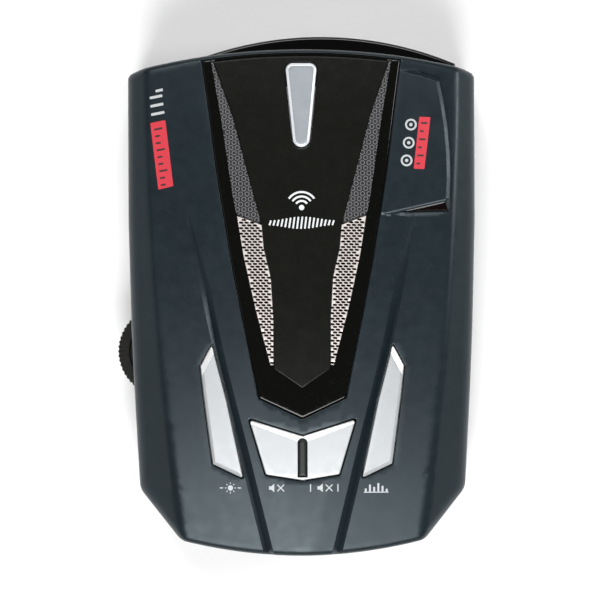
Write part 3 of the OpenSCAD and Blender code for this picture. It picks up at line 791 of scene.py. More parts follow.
def board(name):
    """Green solder mask over copper tracks."""
    n = Nodes(name)
    tracks = n.add("ShaderNodeTexBrick", offset=0.37, squash=0.6)
    n.put(tracks.inputs["Vector"], n.place)
    n.put(tracks.inputs["Scale"], 1 / (2.4 * MM))
    n.put(tracks.inputs["Mortar Size"], 0.05)
    n.put(tracks.inputs["Color1"], (0.012, 0.085, 0.03))
    n.put(tracks.inputs["Color2"], (0.016, 0.12, 0.045))
    n.put(tracks.inputs["Mortar"], (0.045, 0.2, 0.06))
    cloudy = n.spread(n.noise(4, 3), 0, 0.5)
    n.feed("Base Color", n.mix(cloudy, tracks.outputs["Color"], (0.01, 0.06, 0.02)))
    n.feed("Roughness", n.spread(n.noise(1, 3), 0.22, 0.4))
    n.bump((tracks.outputs["Fac"], 0.02, 0.4), (n.noise(0.3, 2), 0.004, 0.3))
    return n.material


def clear(name, colour):
    """Clear moulded lens material, almost free of haze."""
    n = Nodes(name)
    n.feed("Base Color", n.mix(n.spread(n.noise(3, 2), 0, 0.6), colour, scaled(colour, 0.94)))
    n.feed("Transmission Weight", 1)
    n.feed("IOR", 1.49)
    n.feed("Roughness", n.spread(n.noise(1, 3), 0.02, 0.07))
    n.bump((n.noise(4, 2), 0.01, 0.2))
    return n.material


CASE = plastic("case_top_plastic", (0.0066, 0.0111, 0.0141), 0.345, grain=0.16,
               specular=0.37, speck=1.6, glint=(0.8, 0.93, 1))
CASE_LOW = plastic("case_bottom_plastic", (0.013, 0.016, 0.018), 0.48, grain=0.2, grain_height=0.01)
BEZEL = gloss("bezel_gloss", (0.0028, 0.0028, 0.0024), 0.06, specular=0.3)
SATIN = plastic("plate_satin", (0.0055, 0.0055, 0.0045), 0.27, grain=0.16, grain_height=0.005, edge_wear_and_highlight=0.1,
                specular=0.16, speck=1.7)
RING_BASE = plastic("ring_base", (0.0092, 0.0088, 0.0098), 0.42, edge_wear_and_highlight=0.0, specular=0.4)
RING_LINE = ink("ring_line", (0.145, 0.145, 0.155), 0.4)
MESH_METAL = metal("grille_metal", (0.74, 0.68, 0.645), 0.34, metallic=0.5, grain=0.1)
BUTTON = metal("button_paint", (0.29, 0.315, 0.34), 0.42, metallic=0.35)
# A brighter copy of the button paint for the rim bevel and the flange: a painted highlight.
BUTTON_RIM_HIGHLIGHT = metal("button_paint_highlight", (0.82, 0.85, 0.88), 0.3, metallic=0.35)
KEY_PAINT = metal("key_paint", (0.39, 0.405, 0.415), 0.4, metallic=0.25, grain=0.12, height=0.003)
# A brighter copy of the key paint for the keys' bevels: a painted highlight where the bevels catch the front
# light.
KEY_BEVEL_HIGHLIGHT = metal("key_paint_highlight", (0.74, 0.75, 0.755), 0.36, metallic=0.25, grain=0.12, height=0.003)
RIB = plastic("rib_plastic", (0.013, 0.0145, 0.0145), 0.4, edge_wear_and_highlight=0.15, specular=0.25)
RED_INK = ink("badge_red", (0.5, 0.024, 0.04))
GREY_INK = ink("badge_grey", (0.42, 0.44, 0.45))
DARK_INK = ink("badge_dark", (0.03, 0.012, 0.014))
WHITE_INK = ink("mark_silver", (0.62, 0.64, 0.65), 0.35)
LENS = gloss("lens_gloss", (0.003, 0.003, 0.003), 0.05, specular=0.35)
RED_WINDOW = gloss("window_tint", (0.006, 0.0014, 0.0014), 0.06, specular=0.3)
SENSOR_WINDOW = gloss("sensor_tint", (0.004, 0.0018, 0.0018), 0.06, specular=0.3)
KNURL = plastic("wheel_plastic", (0.0068, 0.0064, 0.0055), 0.5, grain=0.18, grain_height=0.012, edge_wear_and_highlight=0.15,
                specular=0.2)
BRIGHT_STEEL = metal("bright_steel", (0.55, 0.55, 0.56), 0.3, grain=0.08)
SCREW = metal("screw_dark", (0.12, 0.12, 0.125), 0.4, grain=0.08)
LABEL = ink("label_foil", (0.5, 0.5, 0.485), 0.38)
LABEL_LINE = ink("label_line", (0.09, 0.09, 0.09), 0.5)

# ---------- Covers ----------


def front_arc(inset):
    """The case's front edge over the centre panel, moved inwards."""
    return arc_line(CASE_FRONT - FRONT_ARC_R, FRONT_ARC_R - inset, 24, 1)


def fold_line(shape, side, offset):
    """The line along a shoulder's or flank's pivot, moved sideways by offset."""
    pivot_x, _, yaw, _ = shape
    return [(side * (pivot_x + offset + (y - CREST_Y) * math.tan(yaw)), y) for y in np.linspace(52, -55, 50)]


def notch_lines():
    """Lines across the wall where the openings for the lens and the display window end."""
    lines = [[(x, 40), (x, 52)] for x in (LENS_X - LENS_HALF_W - FIT, LENS_X + LENS_HALF_W + FIT)]
    return lines + [[(side * (WINDOW_HALF_W + FIT), y) for y in (-40, -54)] for side in SIDES]


def in_front_notch(x, y):
    return (y > 30) & (np.abs(x - LENS_X) < LENS_HALF_W + FIT)


def in_rear_notch(x, y):
    return (y < -30) & (np.abs(x) < WINDOW_HALF_W + FIT)


def near_any(places, radius, x, y):
    """Nearer than radius to any of the places."""
    return np.min([np.hypot(x - px, y - py) for px, py in places], axis=0) < radius


def rim(x, y, inset):
    """In the case's wall, whose outer face is this far inside the upper cover's."""
    depth = case_depth(x, y)
    return (depth > inset) & (depth < inset + WALL)


def top_cover():
    """The upper cover: its outer surface, the openings for the keys and panel, bosses and speaker seat."""
    release = button_outline(KEY_GAP)
    under = partial(case_height, depth=SKIN)
    recess = partial(crown, depth=PANEL_T)
    slots = [sided(SOUND_SLOT, side) for side in SIDES]

    def in_hole(x, y):
        sound = within_any(slots, x, y) & (np.hypot(x, y) < SOUND_R)
        return within_any([key_hole(1), key_hole(-1), mute_hole(), release], x, y) | sound

    def in_recess(x, y):
        return recess_depth(x, y) > 0

    def in_seat(x, y):
        radius = np.hypot(x, y)
        return (radius > SEAT_R[0]) & (radius < SEAT_R[1])

    def housing_roof(x, y):
        return np.maximum(under(x, y), np.minimum(crown(x, y, 1.6), slope(x, y, HOUSING_WALL)))

    def in_housing(x, y):
        return depth_in(HUMP_LOOP, x, y) > HOUSING_WALL

    zones = [
        (in_hole, None, None),
        (lambda x, y: in_recess(x, y) & in_seat(x, y), recess, level(SEAT_Z)),
        (in_recess, recess, under),
        (partial(near_any, BOSSES, BOSS_BORE_R), cover_height, level(SPLIT_Z + 5)),
        (partial(near_any, BOSSES, BOSS_R), cover_height, level(SPLIT_Z)),
        (partial(near_any, KEY_BOSSES, KEY_BOSS_BORE_R), cover_height, level(KEY_BOARD_TOP + 3)),
        (partial(near_any, KEY_BOSSES, POST_R), cover_height, level(KEY_BOARD_TOP)),
        (lambda x, y: rim(x, y, 0) & in_front_notch(x, y), cover_height, level(LENS_Z[1] + FIT)),
        (lambda x, y: rim(x, y, 0) & in_rear_notch(x, y), cover_height, level(WINDOW_Z[1] + FIT)),
        (partial(rim, inset=0), cover_height, level(SPLIT_Z)),
        (in_seat, cover_height, level(SEAT_Z)),
        (in_housing, cover_height, housing_roof),
        (lambda x, y: case_depth(x, y) > 0, cover_height, under),
    ]
    loops = [case_loop(d) for d in (0, 0.03, 0.12, 0.3, 0.6, EDGE_R, WALL)]
    for more in (0, 0.03, 0.09, HOLE_ROLL):
        loops += [key_hole(1, more), key_hole(-1, more), mute_hole(more)]
    loops += [grown(PANEL, FIT + d) for d in (0, 0.06, 0.14, RECESS_ROLL)]
    bevel_end = HUMP_WALL + HUMP_BEVEL
    loops += insets(HUMP_LOOP, 0, HUMP_WALL, HUMP_WALL + 0.06, bevel_end - 0.06, bevel_end, bevel_end + 0.08,
                    HOUSING_WALL)
    loops += slots + [release]
    loops += circles([(0, 0)], SOUND_R, *SEAT_R, count=64)
    loops += circles(BOSSES, BOSS_BORE_R, BOSS_R)
    loops += circles(KEY_BOSSES, KEY_BOSS_BORE_R, POST_R, count=20)
    lines = [front_arc(0.7), front_arc(0.65), front_arc(0.55)] + notch_lines()
    for side in SIDES:
        lines += [fold_line(SHOULDER, side, offset) for offset in (-0.45, -0.22, 0, 0.22, 0.45)]
        lines += [fold_line(FLANK, side, offset) for offset in (-0.7, -0.35, 0, 0.35, 0.7)]
        for share in (-1.06, -1, -0.94, -0.5, -0.06, 0, 0.06, 0.5, 0.94, 1, 1.06):
            lines.append([(side * (groove_centre(y) + share * groove_width(y)), y)
                          for y in np.linspace(16.2, -53, 60)])
    for offset in (-0.3, -0.15, 0, 0.15, 0.3):
        lines.append([(x, brow_y(x) + offset) for x in (17, 30)])
    made = piece("cover_top", layered(zones, loops, lines, 1.1), "case", [CASE], ["top_cover"])
    half_w = SLOT_W / 2
    bracket_slot = prism([(-half_w, 33), (half_w, 33), (half_w, 60), (-half_w, 60)], *SLOT_Z)
    carve(made, bracket_slot, prism(grown(SLOPE_WINDOW, 0.05)[::-1], -6, 2, SLOPE_PLACE))


def brow_y(x):
    """Where the housing's rear slope meets its crown."""
    ys = np.linspace(12, 30, 400)
    gap = slope(x + 0 * ys, ys) - crown(x + 0 * ys, ys)
    return float(ys[np.argmin(np.abs(gap))])


def bottom_cover():
    """The lower cover: walls with their openings, bosses, posts, vents and a bevelled underside."""
    floor = level(WALL)

    def beneath(x, y):
        """The underside: flat, with a bevel that rises to the edge."""
        bevel = CHAMFER + BOTTOM_INSET - case_depth(x, y)
        return -near_low(-bevel, 0 * x, 0.6)

    wheel_slot_x, wheel_slot_half = -30.5, 9.2
    label_recess = [(x, y - LABEL_Y) for x, y in rectangle(17, 11)]

    def in_wheel_slot(x, y):
        return (x < wheel_slot_x) & (np.abs(y - WHEEL_AT[1]) < wheel_slot_half)

    vents = [rounded([(i * 3.2 - 0.6, 1), (i * 3.2 + 0.6, 1), (i * 3.2 + 0.6, 9), (i * 3.2 - 0.6, 9)], 0.5)
             for i in range(-4, 5)]

    def wall_test(extra):
        return lambda x, y: rim(x, y, BOTTOM_INSET) & extra(x, y)

    zones = [
        (partial(within_any, vents), None, None),
        (partial(near_any, BOSSES, SCREW_HOLE_R), None, None),
        (partial(near_any, BOSSES, COUNTERBORE_R), level(SPLIT_Z), level(4)),
        (partial(near_any, BOSSES, BOSS_R), level(SPLIT_Z), beneath),
        (partial(near_any, POSTS, POST_BORE_R), floor, beneath),
        (partial(near_any, POSTS, POST_R), level(6), beneath),
        (wall_test(in_front_notch), level(LENS_Z[0] - FIT), beneath),
        (wall_test(in_rear_notch), level(WINDOW_Z[0] - FIT), beneath),
        (wall_test(in_wheel_slot), level(WHEEL_Z[0] - 0.4), beneath),
        (partial(rim, inset=BOTTOM_INSET), level(SPLIT_Z), beneath),
        (inside(label_recess), floor, level(0.3)),
        (lambda x, y: case_depth(x, y) > BOTTOM_INSET, floor, beneath),
    ]
    loops = [case_loop(BOTTOM_INSET + d) for d in (0, 0.6, 1.2, 1.7, WALL, 2.2, 2.6, 3)] + vents
    loops += circles(BOSSES, SCREW_HOLE_R, COUNTERBORE_R, BOSS_R)
    loops += circles(POSTS, POST_BORE_R, POST_R, count=20)
    loops.append(label_recess)
    slot_y = (WHEEL_AT[1] - wheel_slot_half, WHEEL_AT[1] + wheel_slot_half)
    lines = notch_lines() + [[(wheel_slot_x, y), (-36, y)] for y in slot_y]
    made = piece("cover_bottom", layered(zones, loops, lines, 1.6), "case", [CASE_LOW],
                 ["bottom_cover"])
    carve(made, *(rod(radius, (30, y, JACK_Z), (40, y, JACK_Z))
                  for radius, y in ((2.7, POWER_Y), (2.9, EARPHONE_Y))))


# ---------- Centre panel ----------


def plate_depth(x, y):
    return fronted(grown(PLATE, -0.05), 1.35, x, y)


def plate_height(x, y):
    return crown(x, y, -0.1)


def bezel():
    """The gloss frame of the centre panel, open where the plate and the strips lie."""
    strips = [sided(strip, side) for strip in (RING_STRIP, GRILLE) for side in SIDES]

    depth = partial(fronted, PANEL, 0.8)

    def opening_depth(x, y):
        return np.max([fronted(PLATE, 1.3, x, y)] + [depth_in(strip, x, y) for strip in strips], axis=0)

    def top(x, y):
        return crown(x, y) - rolled(depth(x, y), 0.4) - rolled(-opening_depth(x, y), 0.15)

    zones = [
        (lambda x, y: opening_depth(x, y) > 0, None, None),
        (lambda x, y: depth(x, y) > 0, top, partial(crown, depth=PANEL_T)),
    ]
    loops = insets(PANEL, 0, 0.03, 0.12, 0.25, 0.4) + [PLATE] + strips
    loops += [grown(hole, d) for hole in strips for d in (0.05, 0.15)]
    lines = [front_arc(d) for d in (0.8, 0.85, 0.95, 1.15, 1.3)]
    piece("bezel", layered(zones, loops, lines, 1.2), "case", [BEZEL], ["panel_bezel"])


def plate():
    """The satin plate inside the bezel, with the release button's opening."""
    release = button_outline(KEY_GAP)

    def top(x, y):
        return plate_height(x, y) - rolled(plate_depth(x, y), 0.25) - rolled(-depth_in(release, x, y), 0.2)

    zones = [
        (inside(release), None, None),
        (lambda x, y: plate_depth(x, y) > 0, top, partial(crown, depth=PANEL_T)),
    ]
    loops = insets(grown(PLATE, -0.05), 0, 0.02, 0.08, 0.25, 0.32)
    loops += [button_outline(KEY_GAP + d) for d in (0, 0.06, 0.2, 0.27)]
    lines = [front_arc(d) for d in (1.35, 1.38, 1.43, 1.6, 1.67)]
    piece("centre_plate", layered(zones, loops, lines, 1.4), "case", [SATIN], ["panel_plate"])


def staggered(strip, side, start, pitch, counts, depth):
    """The places of a staggered grid that lie deeper than this in a strip."""
    places = []
    for row in range(counts[1]):
        y = start[1] + row * pitch[1]
        for column in range(counts[0]):
            x = side * (start[0] + (column + 0.5 * (row % 2)) * pitch[0])
            if depth_in(strip, np.array([x]), np.array([y]))[0] > depth:
                places.append((x, y))
    return places


SIDE_NAME = {1: "right", -1: "left"}
RING_PITCH = (1.30, 1.05)
RING_R = 0.42
RING_LINE_W = 0.22


def ring_strip(side):
    """A satin strip embossed with staggered rings, which its edges cut through."""
    strip = grown(sided(RING_STRIP, side), -0.05)
    centres = staggered(strip, side, (7.2, 14.5), RING_PITCH, (16, 32), -RING_R * 0.9)
    at = np.array(centres)

    def ring_radius(x, y):
        return np.min(np.hypot(x[:, None] - at[:, 0], y[:, None] - at[:, 1]), axis=1)

    def top(x, y):
        t = np.clip(np.abs(ring_radius(x, y) - RING_R) / (RING_LINE_W / 2), 0, 1)
        return crown(x, y, 0.15) + 0.1 * (1 - t ** 2)

    def on_ring(x, y):
        return within(strip, x, y) & (np.abs(ring_radius(x, y) - RING_R) < RING_LINE_W / 2)

    base = partial(crown, depth=PANEL_T)
    zones = [(on_ring, top, base), (inside(strip), top, base)]
    radii = [RING_R + d * RING_LINE_W / 2 for d in (-1, 0, 1)]
    loops = [strip] + circles(centres, *radii, count=14)
    piece(f"ring_band_{SIDE_NAME[side]}", layered(zones, loops, (), 0.8), "case",
          [RING_BASE, RING_LINE], [f"ring_strip_{SIDE_NAME[side]}"], paint={0: 1})


MESH_PITCH = (1.12, 0.56)
MESH_HOLE = (0.44, 0.22)
MESH_TILT = -0.08
HOLE_POWER = 2.4


def hole_shape():
    """One slot's outline round its own centre: a rounded oblong, a little tilted."""
    shape = []
    for a in np.linspace(0, 2 * math.pi, 14, endpoint=False):
        dx, dy = (half * math.copysign(abs(turn) ** (2 / HOLE_POWER), turn)
                  for half, turn in zip(MESH_HOLE, (math.cos(a), math.sin(a))))
        shape.append((dx, dy + MESH_TILT * dx))
    return shape


def grille_mesh(side):
    """A bright perforated sheet: staggered rows of short slots between rounded webs."""
    strip = grown(sided(GRILLE, side), -0.05)
    centres = staggered(strip, side, (5.6, -14.15), MESH_PITCH, (9, 56), 0.17)
    at = np.array(centres)
    hole = np.array(hole_shape())
    step = np.roll(hole, -1, axis=0) - hole
    normals = np.stack([step[:, 1], -step[:, 0]], axis=1)
    normals /= np.sum(normals * hole, axis=1)[:, None]

    def hole_share(x, y):
        """How far out a point is from the nearest hole's centre, as a share of that hole's outline."""
        away = np.stack([x[:, None] - at[:, 0], y[:, None] - at[:, 1]], axis=2)
        stretched = np.abs(away / np.array(MESH_HOLE)) ** HOLE_POWER
        nearest = away[np.arange(len(x)), np.argmin(stretched.sum(axis=2), axis=1)]
        return np.max(nearest @ normals.T, axis=1)

    def top(x, y):
        """Webs that round down into the holes, on a sheet with a slightly rolled outer edge."""
        web = np.clip((hole_share(x, y) - 1) / 0.3, 0, 1)
        return crown(x, y, 0.12) - 0.14 * (1 - web) ** 2 - rolled(depth_in(strip, x, y), 0.06)

    loops = [strip]
    for x, y in centres:
        loops += [[(x + share * dx, y + share * dy) for dx, dy in hole] for share in (1, 1.14)]
    loops += insets(strip, 0.06)
    zones = [
        (lambda x, y: hole_share(x, y) < 1, None, None),
        (inside(strip), top, partial(crown, depth=PANEL_T)),
    ]
    piece(f"mesh_{SIDE_NAME[side]}", layered(zones, loops, (), 0.8), "case", [MESH_METAL],
          [f"grille_{SIDE_NAME[side]}"])


# ---------- Release button and keys ----------


def release_button():
    """The bracket release: a silver cap with a flange under the plate."""
    outline = button_outline()
    flange = button_outline(0.9)
    half_w = 5
    near_y, far_y = 28.25, 42.75
    rim_w, rim_drop = 0.45, 0.34
    face_inset, face_drop, face_roll = 0.5, 0.05, 0.18

    def top(x, y):
        """A bevelled rim round a flat, slightly sunken face."""
        d = depth_in(outline, x, y)
        rise = np.clip(d / rim_w, 0, 1)
        sunk = face_drop * np.clip((d - face_inset) / face_roll, 0, 1)
        return crown(x, y, -KEY_PROUD) - rim_drop * (1 - rise) ** 1.3 - sunk

    def in_flange(x, y):
        return within(flange, x, y) & (y > near_y) & (y < far_y) & (np.abs(x) < half_w)

    def in_face(x, y):
        return depth_in(outline, x, y) > face_inset

    foot = level(BUTTON_FOOT_Z)
    # The rim and the flange take the brighter copy of the paint: a painted highlight on the rim bevel.
    zones = [(in_face, top, foot), (inside(outline), top, foot), (in_flange, level(27.3), foot)]
    loops = [button_outline(-d) for d in (0, 0.03, 0.1, 0.2, 0.32, rim_w, face_inset, 0.58, 0.68)]
    loops.append(flange)
    lines = [[(-half_w, y), (half_w, y)] for y in (near_y, far_y)]
    piece("release_cap", layered(zones, loops, lines, 0.8), "release", [BUTTON, BUTTON_RIM_HIGHLIGHT],
          ["release_button"], paint={1: 1, 2: 1})


def line_distance(start, end, x, y):
    """How far each place lies from the straight line through two points."""
    along_x, along_y = end[0] - start[0], end[1] - start[1]
    return np.abs((x - start[0]) * along_y - (y - start[1]) * along_x) / math.hypot(along_x, along_y)


def beside(start, end, distance):
    """The stretch from start to end, moved to its right."""
    along = (Vector(end) - Vector(start)).normalized()
    across = Vector((along.y, -along.x)) * distance
    return [tuple(Vector(start) + across - along), tuple(Vector(end) + across + along)]


# Bevels on a side key's edges: the edge's first corner in KEY_OUTLINE, then the bevel's width and drop.
KEY_BEVELS = [(0, 1.2, 0.42), (1, 0.55, 0.22), (2, 0.55, 0.22), (3, 0.75, 0.3)]


def side_key(side):
    """A painted cap with bevelled edges, its flange under the cover, and the stem over its dome."""
    corners = sided(KEY_OUTLINE, side)
    outline = rounded(corners, 0.35)
    flange = grown(corners, 0.7)
    edges = [(corners[i], corners[i + 1], width, drop) for i, width, drop in KEY_BEVELS]

    def top(x, y):
        bevel = [drop * np.clip(1 - line_distance(a, b, x, y) / width, 0, 1) for a, b, width, drop in edges]
        rolled_edge = rolled(depth_in(outline, x, y), KEY_ROLL)
        return facet(x, y, SHOULDER, side, -KEY_PROUD) - rolled_edge - np.max(bevel, axis=0)

    def beneath(x, y):
        return facet(x, y, SHOULDER, side, SKIN + 1.1)

    def in_front_bevel(x, y):
        start, end, width, _ = edges[0]
        return within(outline, x, y) & (line_distance(start, end, x, y) < width)

    stem = circle((side * SIDE_DOME[0], SIDE_DOME[1]), 1.3, 24)
    # The front bevel's zone takes the brighter copy of the key paint: a painted highlight.
    zones = [
        (in_front_bevel, top, beneath),
        (inside(stem), top, level(DOME_TOP)),
        (inside(outline), top, beneath),
        (inside(flange), partial(facet, shape=SHOULDER, side=side, depth=SKIN + 0.3), beneath),
    ]
    loops = insets(outline, *KEY_ROLL_LOOPS) + [flange, stem]
    lines = [beside(a, b, side * (width + d)) for a, b, width, _ in edges for d in CREASE_SUPPORT]
    name, body = ("city", "city_button") if side > 0 else ("dim", "dim_button")
    piece(f"{name}_cap", layered(zones, loops, lines, 0.9), body, [KEY_PAINT, KEY_BEVEL_HIGHLIGHT],
          [f"{name}_key"], paint={0: 1})


BEVEL_MIDDLE = 1.45
BEVEL_END = 0.7
BEVEL_DROP = 0.42
LUG_Z = 21.6
PIN_Z = 23.6


def mute_rocker():
    """The V-shaped rocker with its stems, the slot for its rib and the lug round its pivot pin."""
    outline = rounded(MUTE, 0.5)
    rib_slot = rib_outline(0.03)

    def v_bevel(x, y):
        """How far the bevel along the V-shaped front edges has dropped."""
        behind = line_distance((0, MUTE_APEX), MUTE_SIDE[0], np.abs(x), y)
        width = BEVEL_MIDDLE - (BEVEL_MIDDLE - BEVEL_END) * np.abs(x) / MUTE_SIDE[0][0]
        return BEVEL_DROP * np.clip(1 - behind / width, 0, 1)

    def in_v_bevel(x, y):
        return within(outline, x, y) & (v_bevel(x, y) > 0)

    def top(x, y):
        return crown(x, y, -KEY_PROUD) - rolled(depth_in(outline, x, y), KEY_ROLL) - v_bevel(x, y)

    under = partial(crown, depth=SKIN + 1.2)
    slot_floor = partial(crown, depth=0.5)
    lug = [(-2.3, -36), (2.3, -36), (2.3, -29.2), (-2.3, -29.2)]
    stems = [circle((x, MUTE_DOME[1]), 1.3, 24) for x in (MUTE_DOME[0], -MUTE_DOME[0])]
    # The V bevel's zones take the brighter copy of the key paint: a painted highlight.
    zones = [
        (lambda x, y: within(rib_slot, x, y) & within(lug, x, y), slot_floor, level(LUG_Z)),
        (inside(rib_slot), slot_floor, under),
        (lambda x, y: in_v_bevel(x, y) & ~within(lug, x, y), top, under),
        (in_v_bevel, top, level(LUG_Z)),
        (inside(stems[0]), top, level(DOME_TOP)),
        (inside(stems[1]), top, level(DOME_TOP)),
        (lambda x, y: within(outline, x, y) & within(lug, x, y), top, level(LUG_Z)),
        (inside(outline), top, under),
    ]
    loops = insets(outline, *KEY_ROLL_LOOPS) + stems + [rib_slot, lug]
    corner_x, corner_y = MUTE_SIDE[0]
    lean = math.cos(math.atan2(corner_y - MUTE_APEX, corner_x))
    lines = [[(0, MUTE_APEX - BEVEL_MIDDLE / lean + d), (side * corner_x, corner_y - BEVEL_END / lean + d)]
             for side in SIDES for d in CREASE_SUPPORT]
    made = piece("mute_cap", layered(zones, loops, lines, 0.9), "mute_rocker",
                 [KEY_PAINT, KEY_BEVEL_HIGHLIGHT], ["mute_key"], paint={2: 1, 3: 1})
    carve(made, rod(1.06, (0, -45, PIN_Z), (0, -20, PIN_Z)))


def rib_outline(growth):
    """The rib's outline: straight sides, round at the front."""
    half = 1 + growth
    front = [(half * math.cos(a), -30 + half * math.sin(a)) for a in np.linspace(0, math.pi, 14)]
    return [(half, -37 - growth)] + front + [(-half, -37 - growth)]


def rocker_rib():
    """The dark rib in the middle of the rocker."""
    outline = rounded(rib_outline(0), 0.25, 3)

    def top(x, y):
        return crown(x, y, 0.15 - KEY_PROUD) - rolled(depth_in(outline, x, y), 0.75) * 0.8

    loops = insets(outline, 0, 0.03, 0.12, 0.28, 0.5, 0.75)
    zones = [(inside(outline), top, partial(crown, depth=0.5))]
    piece("rocker_rib", layered(zones, loops, (), 0.6), "mute_rocker", [RIB], ["mute_key_rib"])


# ---------- Ends, wheel, jacks and fasteners ----------


def lens_outline(inset):
    """The front lens in plan: an arc in front, straight sides and a straight back."""
    half = LENS_HALF_W - inset
    front = arc_line(LENS_FRONT - LENS_R, LENS_R - inset, half, 1, LENS_X)
    return rounded([(LENS_X + half, LENS_BACK)] + front[::-1] + [(LENS_X - half, LENS_BACK)], 0.4)


def front_lens():
    """A gloss shell with rolled edges, open at the back."""
    low, high = LENS_Z
    outline = lens_outline(0)

    def roll(x, y):
        return rolled(np.where(y > LENS_BACK + 0.5, depth_in(outline, x, y), 9), LENS_ROLL)

    zones = [(inside(outline), lambda x, y: high - roll(x, y), lambda x, y: low + roll(x, y))]
    loops = insets(outline, *(LENS_ROLL * share for share in (0, 0.04, 0.16, 0.4, 0.7, 1)))
    made = piece("lens_shell", layered(zones, loops, (), 1.6), "case", [LENS], ["front_lens"])
    hollow = lens_outline(LENS_WALL)
    hollow = [(x, y if y > LENS_BACK + 0.3 else LENS_BACK - 1) for x, y in hollow]
    inner = [(inside(hollow), level(high - LENS_WALL), level(low + LENS_WALL))]
    verts, faces, _ = layered(inner, [hollow], (), 4)
    carve(made, (verts, faces, None))


def display_window():
    """A tinted window that follows the rear arc, with rolled edges and a gloss black border."""
    low, high = WINDOW_Z
    half = WINDOW_HALF_W
    outline = rounded([(-half, low), (half, low), (half, high), (-half, high)], 1.2)
    frame_w = 1.1

    def rear_face(x, z, inset):
        """The rear arc's distance behind the middle, as a height."""
        return -(REAR_ARC_R - CASE_REAR - np.sqrt((REAR_ARC_R - inset) ** 2 - x ** 2))

    def outer(x, z):
        return rear_face(x, z, 0.7) - rolled(depth_in(outline, x, z), 0.5)

    back = partial(rear_face, inset=0.5 + WALL)
    loops = insets(outline, 0, 0.03, 0.1, 0.25, 0.5, frame_w)
    zones = [(lambda x, z: depth_in(outline, x, z) > frame_w, outer, back), (inside(outline), outer, back)]
    piece("display_pane", layered(zones, loops, (), 1.6), "case", [RED_WINDOW, BEZEL],
          ["display_window"], place=Matrix.Rotation(math.pi / 2, 4, "X"), paint={1: 1})


def laser_window():
    """The small dark window on the laser housing's rear slope."""
    outline = rounded(SLOPE_WINDOW, 0.15, 3)

    def top(x, y):
        return -0.05 - rolled(depth_in(outline, x, y), 0.15)

    loops = insets(outline, 0, 0.03, 0.15)
    piece("laser_pane", layered([(inside(outline), top, level(-1.5))], loops, (), 0.5), "case",
          [SENSOR_WINDOW], ["rear_laser_window"], place=SLOPE_PLACE)


RIDGES = 60


def volume_wheel():
    """A thumbwheel with a knurled, chamfered rim and a dished face."""
    low, high = WHEEL_Z
    rim_r = WHEEL_R
    dished = high - 0.4

    def knurl(radius, angle):
        ridge = (0.5 + 0.5 * math.cos(RIDGES * angle)) ** 1.6
        return radius - 0.2 * (1 - ridge) if radius > rim_r - 0.3 else radius

    profile = [(2, low), (rim_r - 0.6, low), (rim_r - 0.15, low + 0.25), (rim_r, low + 0.6),
               (rim_r, high - 0.6), (rim_r - 0.15, high - 0.25), (rim_r - 0.6, high), (7.2, high),
               (6.9, dished), (3.4, dished), (3.1, high), (2, high)]
    piece("thumbwheel", turned(profile, RIDGES * 6, knurl), "volume", [KNURL],
          ["volume_wheel"], place=Matrix.Translation((*WHEEL_AT, 0)))


def socket_ring(name, y, bore_r, outer_r):
    """A bright ring round a jack's mouth."""
    profile = [(bore_r, -0.5), (outer_r, -0.5), (outer_r, -0.02), (outer_r - 0.12, 0.12),
               (bore_r + 0.22, 0.12), (bore_r, -0.1)]
    place = Matrix.Translation((34, y, JACK_Z)) @ Matrix.Rotation(math.pi / 2, 4, "Y")
    piece(name, turned(profile, 56), "case", [BRIGHT_STEEL], place=place)


def case_screws():
    """Pan heads with cross recesses, seen in the underside's counterbores."""
    head = circle((0, 0), 2.6, 40)
    cross = [bar((-1.5, 0), (1.5, 0), 0.62), bar((0, -1.5), (0, 1.5), 0.62)]
    shank = circle((0, 0), 1.4, 24)

    def top(x, y):
        return 1.8 - rolled(depth_in(head, x, y), 0.6) - 0.02 * (x * x + y * y)

    def recess(x, y):
        return 1.0 + 0.35 * np.clip(np.hypot(x, y) - 0.4, 0, 2)

    in_cross = partial(within_any, cross)
    shank_end = level(-14)
    zones = [
        (lambda x, y: in_cross(x, y) & within(shank, x, y), recess, shank_end),
        (in_cross, recess, level(0)),
        (inside(shank), top, shank_end),
        (inside(head), top, level(0)),
    ]
    loops = circles([(0, 0)], 2.6, 2.55, 2.4, 2, count=40) + [shank] + cross
    shape = layered(zones, loops, (), 0.5)
    for i, (x, y) in enumerate(BOSSES):
        turn = Matrix.Rotation(math.pi, 4, "X") @ Matrix.Rotation(0.4 + i * 1.1, 4, "Z")
        piece(f"case_screw_{i + 1}", shape, "case", [SCREW], ["case_screws"],
              place=Matrix.Translation((x, y, 4)) @ turn)


def underside_label():
    """A blank foil label: rounded, with ruled fields, plain bars and a ring printed on it."""
    middle = LABEL_Y
    corners = rectangle(16.8, 10.8)
    outline = rounded([(x, y + middle) for x, y in corners], 1.5)
    frame_line = rounded([(x * 0.93, y * 0.9 + middle) for x, y in corners], 1.0)
    frame_inner = grown(frame_line, -0.22)
    rules = [bar((-14, middle + dy), (14, middle + dy), 0.2) for dy in (5.2, 1.6, -2)]
    bars = [bar((-13 + i * 0.9, middle - 7.6), (-13 + i * 0.9, middle - 4), 0.22 + 0.2 * ((i * 7) % 3))
            for i in range(14)]
    seal = circles([(9, middle - 5.8)], 2, 1.75, count=28)

    def in_line(x, y):
        found = within_any(rules + bars, x, y)
        for outer, inner in ((frame_line, frame_inner), seal):
            found |= within(outer, x, y) & (depth_in(inner, x, y) < 0)
        return found

    zones = [(in_line, level(-0.08), level(-0.3)), (inside(outline), level(-0.1), level(-0.3))]
    loops = [outline, frame_line, frame_inner] + rules + bars + seal
    piece("foil_label", layered(zones, loops, (), 2.5), "case", [LABEL, LABEL_LINE],
          ["underside_label"], place=Matrix.Rotation(math.pi, 4, "X"), paint={0: 1})


# ---------- Printed marks ----------


